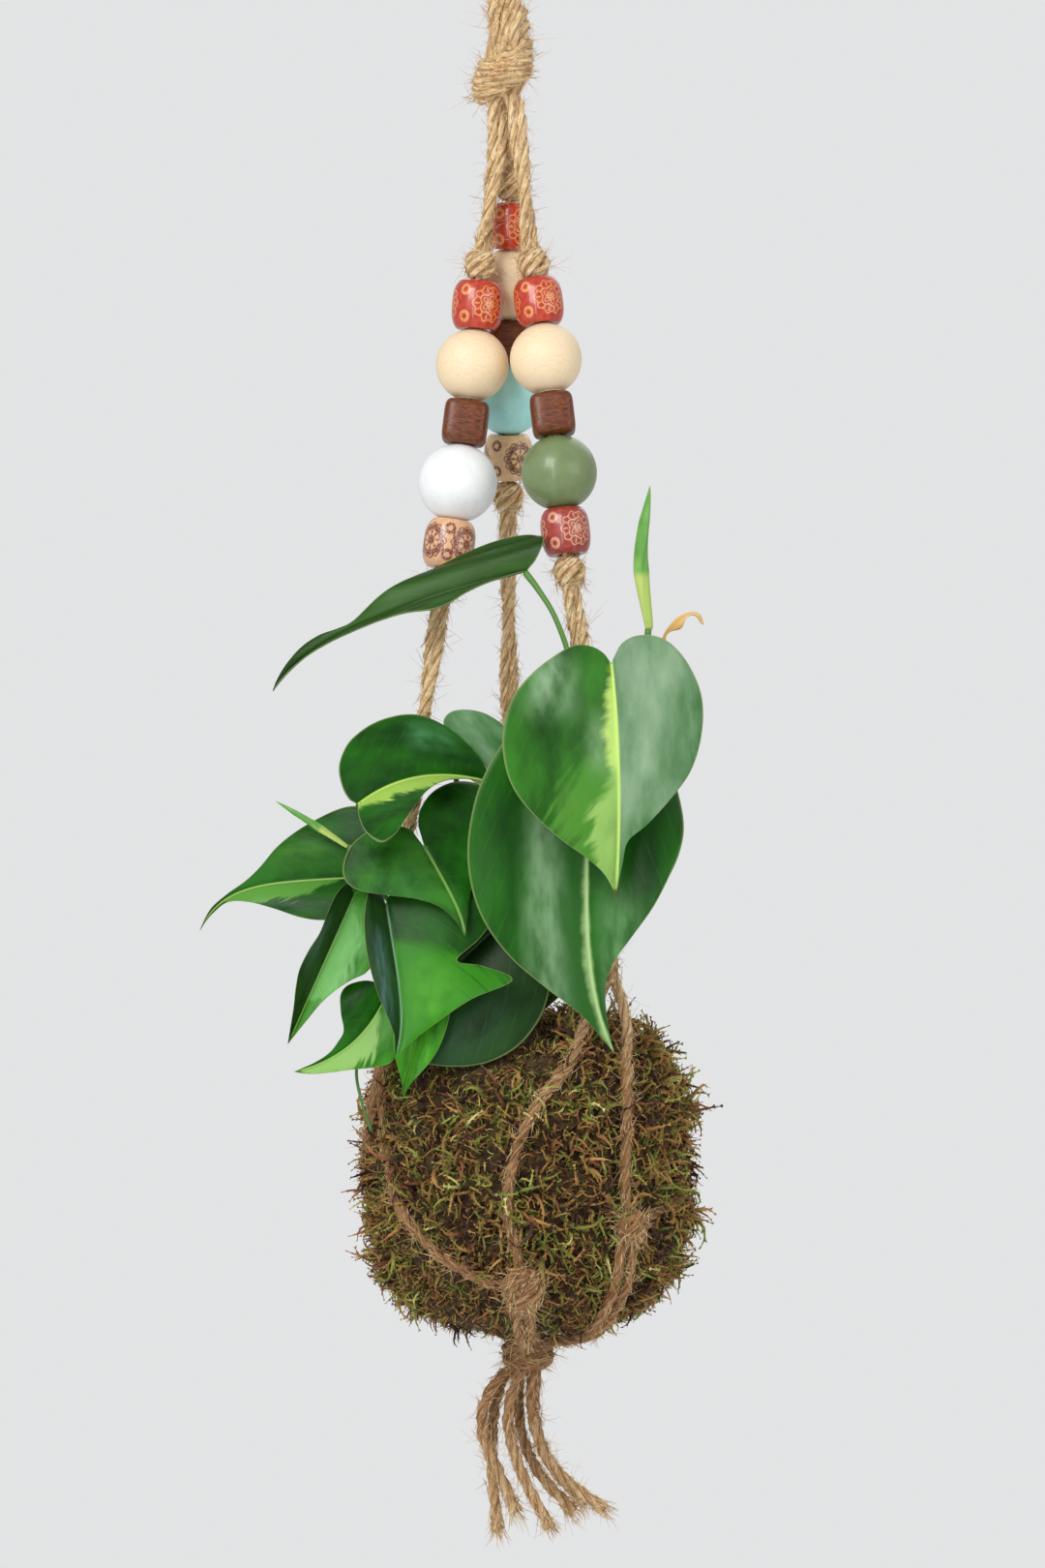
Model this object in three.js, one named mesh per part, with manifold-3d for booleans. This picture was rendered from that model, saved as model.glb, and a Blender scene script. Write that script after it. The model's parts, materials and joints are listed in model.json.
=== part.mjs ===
// A hanging planter of knotted jute cord: three beaded arms hold a moss-covered ball of soil
// with a climbing heart-leaf plant growing out of its top, and six cord ends hang below it.
// Millimetres, +Z up, -Y towards the viewer. The origin is the top of the hanging loop.
import * as THREE from "three";
import { mergeVertices } from "three/addons/utils/BufferGeometryUtils.js";
import Module from "manifold-3d";

const wasm = await Module();
wasm.setup();

// Driving dimensions.
const GAP = 0.3; // left between two pieces that touch
const CORD_D = 4.2; // one jute cord
const PAIR_D = 6.6; // two cords of an arm, lying together
const BUNDLE_D = 8.4; // three cords of the loop, lying together
const CORE_D = 6.2; // two cords squeezed into a bead's hole
const BEAD_HOLE_D = 7.2;
const BEAD_GAP = 0.4;
const THREE_STRAND_SIDES = 8;
const BALL_CENTRE = new THREE.Vector3(6, 0, -453.5);
const BALL_HALF = 54.5; // half of its height
const BALL_POWER = 3; // 2 is an ellipsoid, and more is boxier
const MOSS_R = 54.5; // the moss at its waist, without its loose tips
const MOSS_THICKNESS = 7;
const MOSS_MOUTH_R = 17; // where the stems come out
const LEAF_THICKNESS = 0.9;
const STALK_D = 2.2;

const KNOT_TOP_Z = -56;
const KNOT_BOTTOM_Z = -86;
const GATHER_TOP_Z = -510.3; // where the cords of the net meet
const GATHER_BOTTOM_Z = -521;
const GATHER_X = 6;

const group = new THREE.Group();

// One plain colour and finish for each kind of stuff.
function finish(color, roughness) {
  return new THREE.MeshStandardMaterial({ color, roughness, metalness: 0 });
}
const JUTE = finish("#b78d55", 0.9);
const SOIL = finish("#3b2a1c", 1);
const MOSS = finish("#5f4b22", 1);
const LEAF = finish("#2f6b2c", 0.45);
const LIME = finish("#8fc23c", 0.45);
const DRY = finish("#c49a5a", 0.7);
const PAINTS = {
  red: finish("#a8321f", 0.3),
  natural: finish("#e3c59c", 0.5),
  dark: finish("#552a18", 0.35),
  white: finish("#f1f3f3", 0.4),
  sage: finish("#6f8354", 0.4),
  turquoise: finish("#6fbcc0", 0.4),
  cream: finish("#e2bd8b", 0.35),
};

function add(name, geometry, material, at = new THREE.Vector3()) {
  const mesh = new THREE.Mesh(geometry, material);
  mesh.name = name;
  mesh.position.copy(at);
  group.add(mesh);
  return mesh;
}

function vector(p) {
  return new THREE.Vector3(...p);
}

// ---- Solids ----

function toManifold(geometry) {
  const bare = geometry.clone();
  bare.deleteAttribute("normal");
  bare.deleteAttribute("uv");
  const merged = mergeVertices(bare, 1e-3);
  return new wasm.Manifold(
    new wasm.Mesh({
      numProp: 3,
      vertProperties: merged.attributes.position.array,
      triVerts: new Uint32Array(merged.index.array),
    }),
  );
}

function toGeometry(solid) {
  const mesh = solid.getMesh();
  const geometry = new THREE.BufferGeometry();
  geometry.setAttribute("position", new THREE.BufferAttribute(mesh.vertProperties, 3));
  geometry.setIndex(new THREE.BufferAttribute(mesh.triVerts, 1));
  geometry.computeVertexNormals();
  return geometry;
}

// A round tube along a smooth curve through the points.
function tube(points, diameter, steps, sides = THREE_STRAND_SIDES) {
  const path = new THREE.CatmullRomCurve3(points.map(vector), false, "centripetal");
  const section = new THREE.Shape();
  for (let i = 0; i < sides; i += 1) {
    const angle = (2 * Math.PI * i) / sides;
    const x = (diameter / 2) * Math.cos(angle);
    const y = (diameter / 2) * Math.sin(angle);
    if (i === 0) section.moveTo(x, y);
    else section.lineTo(x, y);
  }
  section.closePath();
  return new THREE.ExtrudeGeometry(section, { steps, extrudePath: path, bevelEnabled: false });
}

// A turned solid about +Z from a list of [radius, height] that runs upwards on the outside.
function turned(profile, sides) {
  return new THREE.LatheGeometry(
    profile.map(([r, z]) => new THREE.Vector2(r, z)),
    sides,
  ).rotateX(Math.PI / 2);
}

// The turn that takes +Z to a direction.
function turnTo(direction) {
  return new THREE.Quaternion().setFromUnitVectors(new THREE.Vector3(0, 0, 1), direction);
}

// A lump about +Z, turned to a direction and moved to a point, as a solid to join to others.
function lumpAt(r, thick, at, direction) {
  const lump = new THREE.SphereGeometry(r, 9, 6).rotateX(Math.PI / 2).scale(1, 1, thick / r);
  return toManifold(lump.applyQuaternion(turnTo(direction)).translate(at.x, at.y, at.z));
}

// ---- Hanging loop and top knot ----

const LOOP_HALF_GAP = 9.5;
add(
  "hanging_loop",
  tube(
    [
      [-2.5, -4.6, KNOT_TOP_Z + 2 * GAP],
      [-2, -6.2, -46],
      [-0.5, -LOOP_HALF_GAP, -26],
      [0, -8.6, -11],
      [0, 0, -BUNDLE_D / 2],
      [0, 8.6, -11],
      [-0.5, LOOP_HALF_GAP, -26],
      [-2, 6.2, -46],
      [-2.5, 4.6, KNOT_TOP_Z + 2 * GAP],
    ],
    BUNDLE_D,
    18,
  ),
  JUTE,
);

// The overhand knot is pear-shaped: narrow where the loop enters and full at its foot. Both its
// ends are cones, so that it can tilt under the loop, and the arms can tilt under it.
const SWING = THREE.MathUtils.degToRad(22);
const knot = turned(
  [
    [0, KNOT_BOTTOM_Z],
    [9.2, KNOT_BOTTOM_Z + 9.2 * Math.tan(SWING)],
    [10.5, -78],
    [9.8, -70],
    [7.6, -62],
    [6, KNOT_TOP_Z - 6 * Math.tan(SWING)],
    [0, KNOT_TOP_Z],
  ],
  12,
);
add("top_knot", knot, JUTE, new THREE.Vector3(-2.4, 0, 0));

// ---- Arms ----

// Each arm runs down from the top knot. Its bead string starts and ends in a knot.
const ARMS = {
  left: {
    upper: [[-5, -2.8, -86.8], [-4.6, -2.4, -99], [-6.8, -3.4, -117], [-9.6, -4.6, -136]],
    string: [[-10.4, -4.8, -142], [-12.8, -5.6, -172], [-17, -7.8, -208], [-23.1, -11.2, -252]],
    lower: [[-23.9, -11.6, -258.1], [-26, -12.6, -272], [-29.6, -14.4, -297], [-37, -18, -350],
      [-43.6, -21, -395], [-46, -22.4, -409]],
    sizes: { ball: 25, painted: 27, printed: 17.6, cube: 15.4 },
    paint: "white",
  },
  right: {
    upper: [[1.4, -4.6, -86.8], [2.8, -6.2, -100], [5, -7.4, -120], [6.6, -8.8, -136]],
    string: [[7.8, -9.2, -142], [11.6, -13, -172], [15.8, -17.4, -208], [20, -21.4, -247.9]],
    lower: [[20.6, -22.2, -254], [23.4, -24.6, -272], [28, -29, -320], [32, -33.4, -360],
      [34.2, -36, -383]],
    sizes: { ball: 24.6, painted: 25.8, printed: 16.8, cube: 14.8 },
    paint: "sage",
  },
  rear: {
    upper: [[-2, 4.6, -86.8], [-1.2, 5.2, -95], [-0.6, 6, -103], [-0.2, 6.6, -107]],
    string: [[0, 7.4, -113], [0, 12, -142], [-0.8, 18, -179], [-1, 24.8, -219.5]],
    lower: [[-1, 26, -225.5], [-1, 29.4, -247], [-0.6, 37, -295], [1, 46, -350], [3.4, 52.6, -395],
      [4, 54.4, -409]],
    sizes: { ball: 25, painted: 25.6, printed: 17, cube: 14.6 },
    paint: "turquoise",
  },
};
const STRING = ["red_bead", "natural_bead", "cube_bead", "painted_bead", "printed_bead"];
const KNOT_R = 5.8;
const KNOT_HALF = 5.4;

// A ball or barrel with flat ends and a hole along its cord. A ball has a low fullness.
function roundBead(diameter, height, fullness) {
  const r = diameter / 2;
  const hole = BEAD_HOLE_D / 2;
  const half = height / 2;
  const rim = hole + (r - hole) * fullness;
  const shoulder = r * 0.86 + rim * 0.14;
  return turned(
    [[hole, -half], [rim, -half], [shoulder, -half * 0.6], [r, 0], [shoulder, half * 0.6],
      [rim, half], [hole, half], [hole, -half]],
    12,
  );
}

// A cube with clipped edges and a hole along its cord.
function cubeBead(side) {
  const half = side / 2;
  const clip = side * 0.14;
  const flat = half - clip;
  const outline = new THREE.Shape();
  outline.moveTo(flat, -half);
  const corners = [[half, -flat], [half, flat], [flat, half], [-flat, half], [-half, flat],
    [-half, -flat], [-flat, -half]];
  corners.forEach((p) => outline.lineTo(...p));
  outline.closePath();
  const hole = new THREE.Path();
  hole.absellipse(0, 0, BEAD_HOLE_D / 2, BEAD_HOLE_D / 2, 0, 2 * Math.PI, true);
  outline.holes.push(hole);
  return new THREE.ExtrudeGeometry(outline, {
    depth: side,
    bevelEnabled: false,
    curveSegments: 10,
  }).translate(0, 0, -half);
}

// How tall each kind of bead stands on its cord, and its solid.
const BEADS = {
  red_bead: (sizes) => [roundBead, sizes.printed, 0.93 * sizes.printed, 0.62],
  natural_bead: (sizes) => [roundBead, sizes.ball, 0.955 * sizes.ball, 0.18],
  cube_bead: (sizes) => [cubeBead, sizes.cube, sizes.cube],
  painted_bead: (sizes) => [roundBead, sizes.painted, 0.95 * sizes.painted, 0.18],
  printed_bead: (sizes) => [roundBead, sizes.printed, 0.93 * sizes.printed, 0.62],
};
const BEAD_PAINT = { red_bead: "red", natural_bead: "natural", cube_bead: "dark",
  printed_bead: "cream" };

for (const [side, arm] of Object.entries(ARMS)) {
  add(`${side}_upper_cords`, tube(arm.upper, PAIR_D, 5), JUTE);

  // The cords inside the beads, with a knot of the same cords at each end.
  const path = new THREE.CatmullRomCurve3(arm.string.map(vector), false, "centripetal");
  const length = path.getLength();
  let string = toManifold(tube(arm.string, CORE_D, 6));
  for (const end of [0, 1]) {
    const lump = lumpAt(KNOT_R, KNOT_HALF, path.getPointAt(end), path.getTangentAt(end));
    string = string.add(lump);
  }
  add(`${side}_bead_cords`, toGeometry(string), JUTE);

  // Beads from the upper knot down, end to end, each turned to its stretch of the string.
  let along = KNOT_HALF + BEAD_GAP;
  for (const kind of STRING) {
    const [make, size, height, fullness] = BEADS[kind](arm.sizes);
    const at = (along + height / 2) / length;
    const paint = PAINTS[BEAD_PAINT[kind] ?? arm.paint];
    const solid = make(size, height, fullness);
    const bead = add(`${side}_${kind}`, solid, paint, path.getPointAt(at));
    bead.quaternion.copy(turnTo(path.getTangentAt(at).negate()));
    along += height + BEAD_GAP;
  }
  add(`${side}_lower_cords`, tube(arm.lower, PAIR_D, 8), JUTE);
}

// ---- Ball of soil in its moss ----

// A boxy ball: its radius at a height above or below its middle.
function ballRadius(height, r, half) {
  return r * (1 - Math.abs(height / half) ** BALL_POWER) ** (1 / BALL_POWER);
}

// Points of a ball's outline from its foot up to where it has narrowed to a radius.
function ballOutline(r, half, stopRadius, count) {
  const points = [];
  for (let i = 0; i <= count; i += 1) {
    const height = -half * Math.cos((Math.PI * i) / count);
    const radius = i === 0 ? 0 : ballRadius(height, r, half);
    if (i > count / 2 && radius < stopRadius) break;
    points.push([radius, height]);
  }
  return points;
}

const inside = ballOutline(MOSS_R - MOSS_THICKNESS, BALL_HALF - MOSS_THICKNESS, MOSS_MOUTH_R, 9);
const outside = ballOutline(MOSS_R, BALL_HALF, MOSS_MOUTH_R, 12);
const mouth = [[MOSS_MOUTH_R, BALL_HALF - 0.6], [MOSS_MOUTH_R, BALL_HALF - MOSS_THICKNESS - 0.6]];
const moss = turned([...outside, ...mouth, ...inside.reverse()], 20);
add("moss_cover", moss, MOSS, BALL_CENTRE);

const soilR = MOSS_R - MOSS_THICKNESS - 3 * GAP;
const soilHalf = BALL_HALF - MOSS_THICKNESS - 3 * GAP;
const soil = turned([...ballOutline(soilR, soilHalf, MOSS_MOUTH_R, 9), [0, soilHalf - 1]], 14);
add("soil_ball", soil, SOIL, BALL_CENTRE);

// ---- Net under and around the ball ----

// A point that stands off the moss, at an angle round the ball (0 is the viewer's side, 90 is
// +X) and a height above its middle.
function onMoss(degrees, height, off) {
  const angle = THREE.MathUtils.degToRad(degrees);
  const r = ballRadius(height, MOSS_R + off, BALL_HALF + off);
  return [
    BALL_CENTRE.x + r * Math.sin(angle),
    BALL_CENTRE.y - r * Math.cos(angle),
    BALL_CENTRE.z + height,
  ];
}

const NET_OFF = CORD_D / 2 + 4 * GAP;
const net = (stations) => stations.map(([degrees, height]) => onMoss(degrees, height, NET_OFF));

// Each arm's two cords part at the ball. One crosses to the next arm's cord on either side.
const NET = {
  left_net_cord_front: [[-49.6, -23, -411.6], ...net([[-66, 18], [-60, 5], [-50, -9], [-34, -23],
    [-13, -33]])],
  left_net_cord_back: [[-46.4, -19, -411.6], ...net([[-74, 18], [-86, 5], [-103, -8], [-118, -17],
    [-131, -23]])],
  right_net_cord_front: [[31.6, -36.2, -385.6], [26.6, -33.4, -396], ...net([[15, 39], [5, 30],
    [-4, 12], [-7, -8], [-4, -23.6]])],
  right_net_cord_back: [[36.4, -36.2, -385.6], [38.8, -39.4, -400], ...net([[37, 26], [35, 10],
    [35, -5.4]])],
  rear_net_cord_left: [[1.6, 55, -411.6], ...net([[-172, 18], [-164, 2], [-156, -12],
    [-150, -21]])],
  rear_net_cord_right: [[6.2, 55, -411.6], ...net([[170, 18], [154, 9], [132, 3], [110, 0],
    [86, -4], [64, -9], [45, -12.4]])],
};
for (const [name, points] of Object.entries(NET)) add(name, tube(points, CORD_D, 11), JUTE);

// Where two cords meet they are knotted, and the pair runs on under the ball.
const NET_KNOTS = {
  front_net_knot: { degrees: -2, height: -34, r: 7.2, thick: 4, meets: -10 },
  right_net_knot: { degrees: 36, height: -14, r: 5.6, thick: 3.8, meets: 48 },
  back_net_knot: { degrees: -140, height: -26, r: 6.6, thick: 4, meets: -140 },
};
const GATHER_D = 4.8;
for (const [name, at] of Object.entries(NET_KNOTS)) {
  const off = at.thick + 3 * GAP;
  const centre = vector(onMoss(at.degrees, at.height, off));
  const lift = THREE.MathUtils.degToRad(at.height * 0.9);
  const round = THREE.MathUtils.degToRad(at.degrees);
  const out = new THREE.Vector3(Math.sin(round), -Math.cos(round), 0);
  out.multiplyScalar(Math.cos(lift)).setZ(Math.sin(lift));
  const heights = [at.height - 4, (at.height - BALL_HALF) / 2, -50, -54];
  const below = heights.map((height) => onMoss(at.degrees, height, GATHER_D / 2 + 4 * GAP));
  const end = THREE.MathUtils.degToRad(at.meets);
  below.push([GATHER_X + 7.6 * Math.sin(end), -7.6 * Math.cos(end), GATHER_TOP_Z]);
  const cords = toManifold(tube(below, GATHER_D, 9));
  add(name, toGeometry(lumpAt(at.r, at.thick, centre, out).add(cords)), JUTE);
}

// Its underside is a cone too, so that the tassel can swing.
const TASSEL_SWING = THREE.MathUtils.degToRad(17);
const gather = turned(
  [
    [0, GATHER_BOTTOM_Z],
    [8.6, GATHER_BOTTOM_Z + 8.6 * Math.tan(TASSEL_SWING)],
    [9.4, -516],
    [7, GATHER_TOP_Z - GATHER_D / 2 - 2 * GAP],
    [0, GATHER_TOP_Z - GATHER_D / 2 - 2 * GAP],
  ],
  12,
);
add("bottom_knot", gather, JUTE, new THREE.Vector3(GATHER_X, 0, 0));

// ---- Tassel: the six cord ends, which hang free ----

const TASSEL = [
  [[-1, -2.4, -522], [-5.5, -3, -526.3], [-9, -3.6, -532.6], [-10, -4, -540],
    [-8.2, -4.2, -548], [-3.4, -4.2, -558], [1.6, -4, -570]],
  [[-0.6, 2.2, -522], [-3.4, 2.4, -527], [-5.6, 2.6, -535], [-6.6, 2.6, -548],
    [-6.2, 2.4, -560], [-4.6, 2.2, -577]],
  [[3.2, -4.2, -522], [0.8, -4.8, -528], [-0.8, -5.2, -535], [-0.4, -5.4, -543],
    [4, -5.6, -557], [13.4, -6, -575]],
  [[3.6, 4.6, -522], [2.7, 5, -528], [2.5, 5.4, -536], [4, 6, -546],
    [9.6, 6.6, -558], [21.4, 7.6, -571.5]],
  [[7.4, -2.6, -522], [7, -2.6, -530], [8, -2.4, -540], [11.6, -2, -550.4],
    [19, -1.6, -559.4], [32.2, -1, -569.6]],
  [[8.5, 2.6, -522], [8, 3, -530], [8.4, 3.3, -540], [11.2, 3.5, -550],
    [16.4, 3.7, -558.6], [25.6, 4, -568.4]],
];
TASSEL.forEach((points, i) => add(`tassel_cord_${i + 1}`, tube(points, CORD_D, 10), JUTE));

// ---- Plant ----

// Half of a leaf as [along, across], from the notch round its lobe to the tip. Pairs of halves
// are named for their leaf.
const HEART = [[0, 0], [-0.07, 0.07], [-0.105, 0.22], [-0.09, 0.44], [0, 0.7], [0.13, 0.9],
  [0.27, 0.99], [0.4, 0.99], [0.54, 0.89], [0.67, 0.68], [0.78, 0.4], [0.87, 0.16],
  [0.94, 0.06], [1, 0]];
const FRONT = [
  [[0, 0], [-0.05, 0.07], [-0.08, 0.19], [-0.08, 0.35], [-0.03, 0.55], [0.04, 0.75],
    [0.14, 0.94], [0.27, 1.05], [0.4, 1.06], [0.53, 0.98], [0.65, 0.79], [0.76, 0.53],
    [0.84, 0.29], [0.91, 0.12], [1, 0]],
  [[0, 0], [-0.04, 0.05], [-0.09, 0.14], [-0.12, 0.29], [-0.12, 0.49], [-0.08, 0.68],
    [0.02, 0.85], [0.16, 0.95], [0.32, 0.92], [0.47, 0.79], [0.59, 0.56], [0.7, 0.3],
    [0.77, 0.1], [0.87, 0.05], [1, 0]],
];
const NARROWED = [[0, 0], [-0.03, 0.03], [-0.06, 0.11], [-0.07, 0.28], [-0.03, 0.49],
  [0.05, 0.68], [0.17, 0.85], [0.3, 0.95], [0.39, 0.92], [0.47, 0.81], [0.56, 0.65],
  [0.65, 0.42], [0.72, 0.23], [0.79, 0.12], [0.88, 0.07], [1, 0]];
const TOP = [
  [[0, 0], [-0.05, 0.16], [-0.1, 0.49], [-0.11, 0.84], [-0.08, 1.07], [0, 1.17],
    [0.12, 1.19], [0.25, 1.07], [0.38, 0.77], [0.51, 0.42], [0.63, 0.13], [0.7, 0.14],
    [0.77, 0.25], [0.84, 0.27], [0.92, 0.17], [1, 0]],
  [[0, 0], [0.03, 0.08], [0.12, 0.24], [0.21, 0.53], [0.3, 0.82], [0.37, 0.85], [0.46, 0.62],
    [0.57, 0.38], [0.69, 0.27], [0.78, 0.22], [0.89, 0.15], [1, 0]],
];
const FOLDED = [
  [[0, 0], [-0.04, 0.11], [-0.08, 0.3], [-0.1, 0.52], [-0.08, 0.76], [-0.03, 0.91],
    [0.07, 0.92], [0.18, 0.79], [0.31, 0.61], [0.46, 0.36], [0.62, 0.18], [0.8, 0.07], [1, 0]],
  [[0, 0], [-0.06, 0.11], [-0.09, 0.31], [-0.07, 0.53], [0.02, 0.68], [0.15, 0.76],
    [0.33, 0.82], [0.54, 0.81], [0.71, 0.75], [0.85, 0.6], [0.95, 0.35], [1, 0]],
];
const POINTED = [
  [[0, 0], [-0.11, 0.02], [-0.23, 0.05], [-0.33, 0.2], [-0.37, 0.45], [-0.3, 0.74],
    [-0.14, 0.94], [0.03, 1], [0.18, 0.9], [0.33, 0.64], [0.47, 0.38], [0.62, 0.19],
    [0.8, 0.08], [1, 0]],
  [[0, 0], [-0.11, 0.03], [-0.26, 0.08], [-0.41, 0.21], [-0.54, 0.45], [-0.58, 0.75],
    [-0.51, 1.01], [-0.36, 1.15], [-0.13, 1.12], [0.1, 0.96], [0.27, 0.7], [0.43, 0.43],
    [0.61, 0.22], [0.82, 0.08], [1, 0]],
];
const LEFT = [
  [[0, 0], [-0.06, 0.12], [-0.15, 0.38], [-0.2, 0.68], [-0.18, 0.91], [-0.11, 1.04],
    [0, 1.02], [0.13, 0.9], [0.27, 0.72], [0.41, 0.5], [0.54, 0.26], [0.66, 0.11],
    [0.79, 0.05], [0.9, 0.04], [1, 0]],
  [[0, 0], [-0.02, 0.22], [0, 0.54], [0.07, 0.81], [0.17, 0.97], [0.28, 1.02], [0.4, 0.9],
    [0.53, 0.62], [0.67, 0.31], [0.79, 0.09], [0.89, 0.06], [1, 0]],
];
const BRIGHT = [
  [[0, 0], [-0.04, 0.35], [0.04, 0.6], [0.18, 0.62], [0.31, 0.6], [0.43, 0.72], [0.56, 0.74],
    [0.67, 0.58], [0.78, 0.36], [0.89, 0.18], [1, 0]],
  [[0, 0], [-0.06, 0.09], [0, 0.41], [0.14, 0.69], [0.31, 0.89], [0.41, 0.86], [0.5, 0.63],
    [0.6, 0.42], [0.7, 0.27], [0.82, 0.16], [0.92, 0.07], [1, 0]],
];
const GREY = [
  HEART,
  [[0, 0], [-0.07, 0.08], [-0.12, 0.3], [-0.15, 0.6], [-0.08, 0.88], [0.08, 0.97],
    [0.26, 0.78], [0.4, 0.54], [0.45, 0.76], [0.55, 1], [0.66, 0.62], [0.78, 0.34],
    [0.9, 0.12], [1, 0]],
];
const LOW = [
  [[0, 0], [-0.03, 0.23], [0.04, 0.64], [0.17, 0.98], [0.28, 1], [0.38, 0.7], [0.46, 0.34],
    [0.56, 0.22], [0.67, 0.12], [0.82, 0.06], [0.93, 0.03], [1, 0]],
  [[0, 0], [-0.04, 0.33], [0.03, 0.64], [0.17, 0.86], [0.32, 0.93], [0.45, 0.75],
    [0.61, 0.49], [0.75, 0.33], [0.88, 0.2], [0.96, 0.09], [1, 0]],
];
const LEAF_ROWS = 10;
const LEAF_COLUMNS = 2; // on each side of the midrib

// A leaf from the end of its stalk to its tip. face is the way its upper side looks, half its
// widths left and right of the midrib, shape the outlines of those halves, and fold how far each
// half turns up, in degrees. bow is how far the midrib rises in its middle, side how far it
// swings to the right there, drip how far it swings to the right just before the tip, and hook
// how far the end turns down.
function leaf({ base, tip, face, half, shape = [HEART, HEART], fold = [8, 8], bow = 0, side = 0,
  drip = 0, hook = 0 }) {
  const from = vector(base);
  const along = vector(tip).sub(from);
  const length = along.length();
  along.normalize();
  const up = vector(face).addScaledVector(along, -vector(face).dot(along)).normalize();
  const across = up.clone().cross(along);
  const margins = shape.map((points) => (
    new THREE.SplineCurve(points.map((p) => new THREE.Vector2(...p)))
  ));
  const pointAt = (share, column) => {
    const right = column > 0;
    const edge = margins[right ? 1 : 0].getPoint(share);
    const foot = share ** 1.4;
    const q = Math.abs(column) / LEAF_COLUMNS;
    const u = foot + (edge.x - foot) * q;
    const v = Math.max(edge.y, 0) * q * half[right ? 1 : 0];
    const turn = THREE.MathUtils.degToRad(fold[right ? 1 : 0]);
    const rise = bow * 4 * u * (1 - u) + hook * 2.6 * (u ** 3 - u);
    const swing = side * 4 * u * (1 - u) + drip * 1.87 * (u - u ** 5);
    return from.clone()
      .addScaledVector(along, length * u)
      .addScaledVector(across, (right ? 1 : -1) * v * Math.cos(turn) + swing)
      .addScaledVector(up, v * Math.sin(turn) + rise);
  };
  const positions = [];
  const sheets = [1, -1].map((way) => {
    const rows = [];
    for (let i = 0; i <= LEAF_ROWS; i += 1) {
      const row = [];
      for (let j = -LEAF_COLUMNS; j <= LEAF_COLUMNS; j += 1) {
        if ((i === 0 || i === LEAF_ROWS) && j > -LEAF_COLUMNS) {
          row.push(row[0]);
        } else {
          const p = pointAt(i / LEAF_ROWS, j).addScaledVector(up, (way * LEAF_THICKNESS) / 2);
          row.push(positions.length / 3);
          positions.push(p.x, p.y, p.z);
        }
      }
      rows.push(row);
    }
    return rows;
  });
  const faces = [];
  const quad = (a, b, c, d) => {
    if (a !== b && b !== c && a !== c) faces.push(a, b, c);
    if (a !== c && c !== d && a !== d) faces.push(a, c, d);
  };
  const [top, under] = sheets;
  const last = 2 * LEAF_COLUMNS;
  for (let i = 0; i < LEAF_ROWS; i += 1) {
    for (let j = 0; j < last; j += 1) {
      quad(top[i][j], top[i + 1][j], top[i + 1][j + 1], top[i][j + 1]);
      quad(under[i][j + 1], under[i + 1][j + 1], under[i + 1][j], under[i][j]);
    }
    quad(top[i][0], under[i][0], under[i + 1][0], top[i + 1][0]);
    quad(top[i + 1][last], under[i + 1][last], under[i][last], top[i][last]);
  }
  const geometry = new THREE.BufferGeometry();
  geometry.setAttribute("position", new THREE.Float32BufferAttribute(positions, 3));
  geometry.setIndex(faces);
  geometry.computeVertexNormals();
  return geometry;
}

const LEAVES = {
  front_leaf: { base: [33.4, -62, -280.4], tip: [34.8, -64, -356.6], face: [0.08, -1, 0.05],
    half: [36.5, 30], shape: FRONT, bow: 5, side: 1.2 },
  long_leaf: { base: [26.6, -45.4, -303], tip: [34.6, -52, -409.5], face: [0, -1, 0.04],
    half: [40.5, 34], shape: [HEART, NARROWED], fold: [10, 8], bow: 2, drip: -6 },
  top_leaf: { base: [5, -29.5, -248], tip: [-80.3, -32, -288.3], face: [-0.25, -0.75, 0.6],
    half: [13, 11], shape: TOP, fold: [4, 12], bow: 3, drip: -9.6, hook: 2 },
  folded_leaf: { base: [-50.2, -57, -326.4], tip: [-6, -34, -319.5], face: [0, -0.87, 0.5],
    half: [24, 28], shape: FOLDED, fold: [22, 8], bow: 1, side: 6 },
  pale_leaf: { base: [-21.5, -29.6, -302.4], tip: [5, -30.6, -326.5], face: [0, -1, 0.1],
    half: [7, 14.4], fold: [6, 6] },
  pointed_leaf: { base: [-28.6, -49, -341], tip: [-15, -57, -370.8], face: [0.1, -1, 0.15],
    half: [29, 30], shape: POINTED, fold: [2, -22], bow: 1, drip: 1.5 },
  left_leaf: { base: [-50.7, -35.4, -351.4], tip: [-104.8, -33, -369.3], face: [0.1, -1, 0.3],
    half: [24, 15], shape: LEFT, fold: [4, 10], drip: -7.8, hook: -2 },
  bright_leaf: { base: [-52.3, -43.6, -357], tip: [-74.2, -50, -406.6], face: [0, -1, 0.2],
    half: [12, 17], shape: BRIGHT, fold: [50, 6] },
  grey_leaf: { base: [-41.7, -47, -360], tip: [-38.5, -60, -410.8], face: [0, -1, 0.15],
    half: [13, 38], shape: GREY, fold: [48, 2], drip: 3 },
  lime_leaf: { base: [-26, -47, -384], tip: [-36, -53, -425], face: [0, -1, 0.2],
    half: [9, 9], fold: [12, 12] },
  low_leaf: { base: [-41.9, -44, -391.2], tip: [-72, -50, -415.7], face: [0, -1, 0.3],
    half: [14, 15.5], shape: LOW, fold: [6, 3], side: 5 },
  dark_leaf: { base: [-3, -40, -366], tip: [-53.5, -43, -413], face: [0, -1, 0.1],
    half: [7, 34.5], fold: [4, 4] },
};
const LIME_LEAVES = ["pale_leaf", "bright_leaf", "grey_leaf", "lime_leaf", "low_leaf"];
for (const [name, shape] of Object.entries(LEAVES)) {
  add(name, leaf(shape), LIME_LEAVES.includes(name) ? LIME : LEAF);
}

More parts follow.
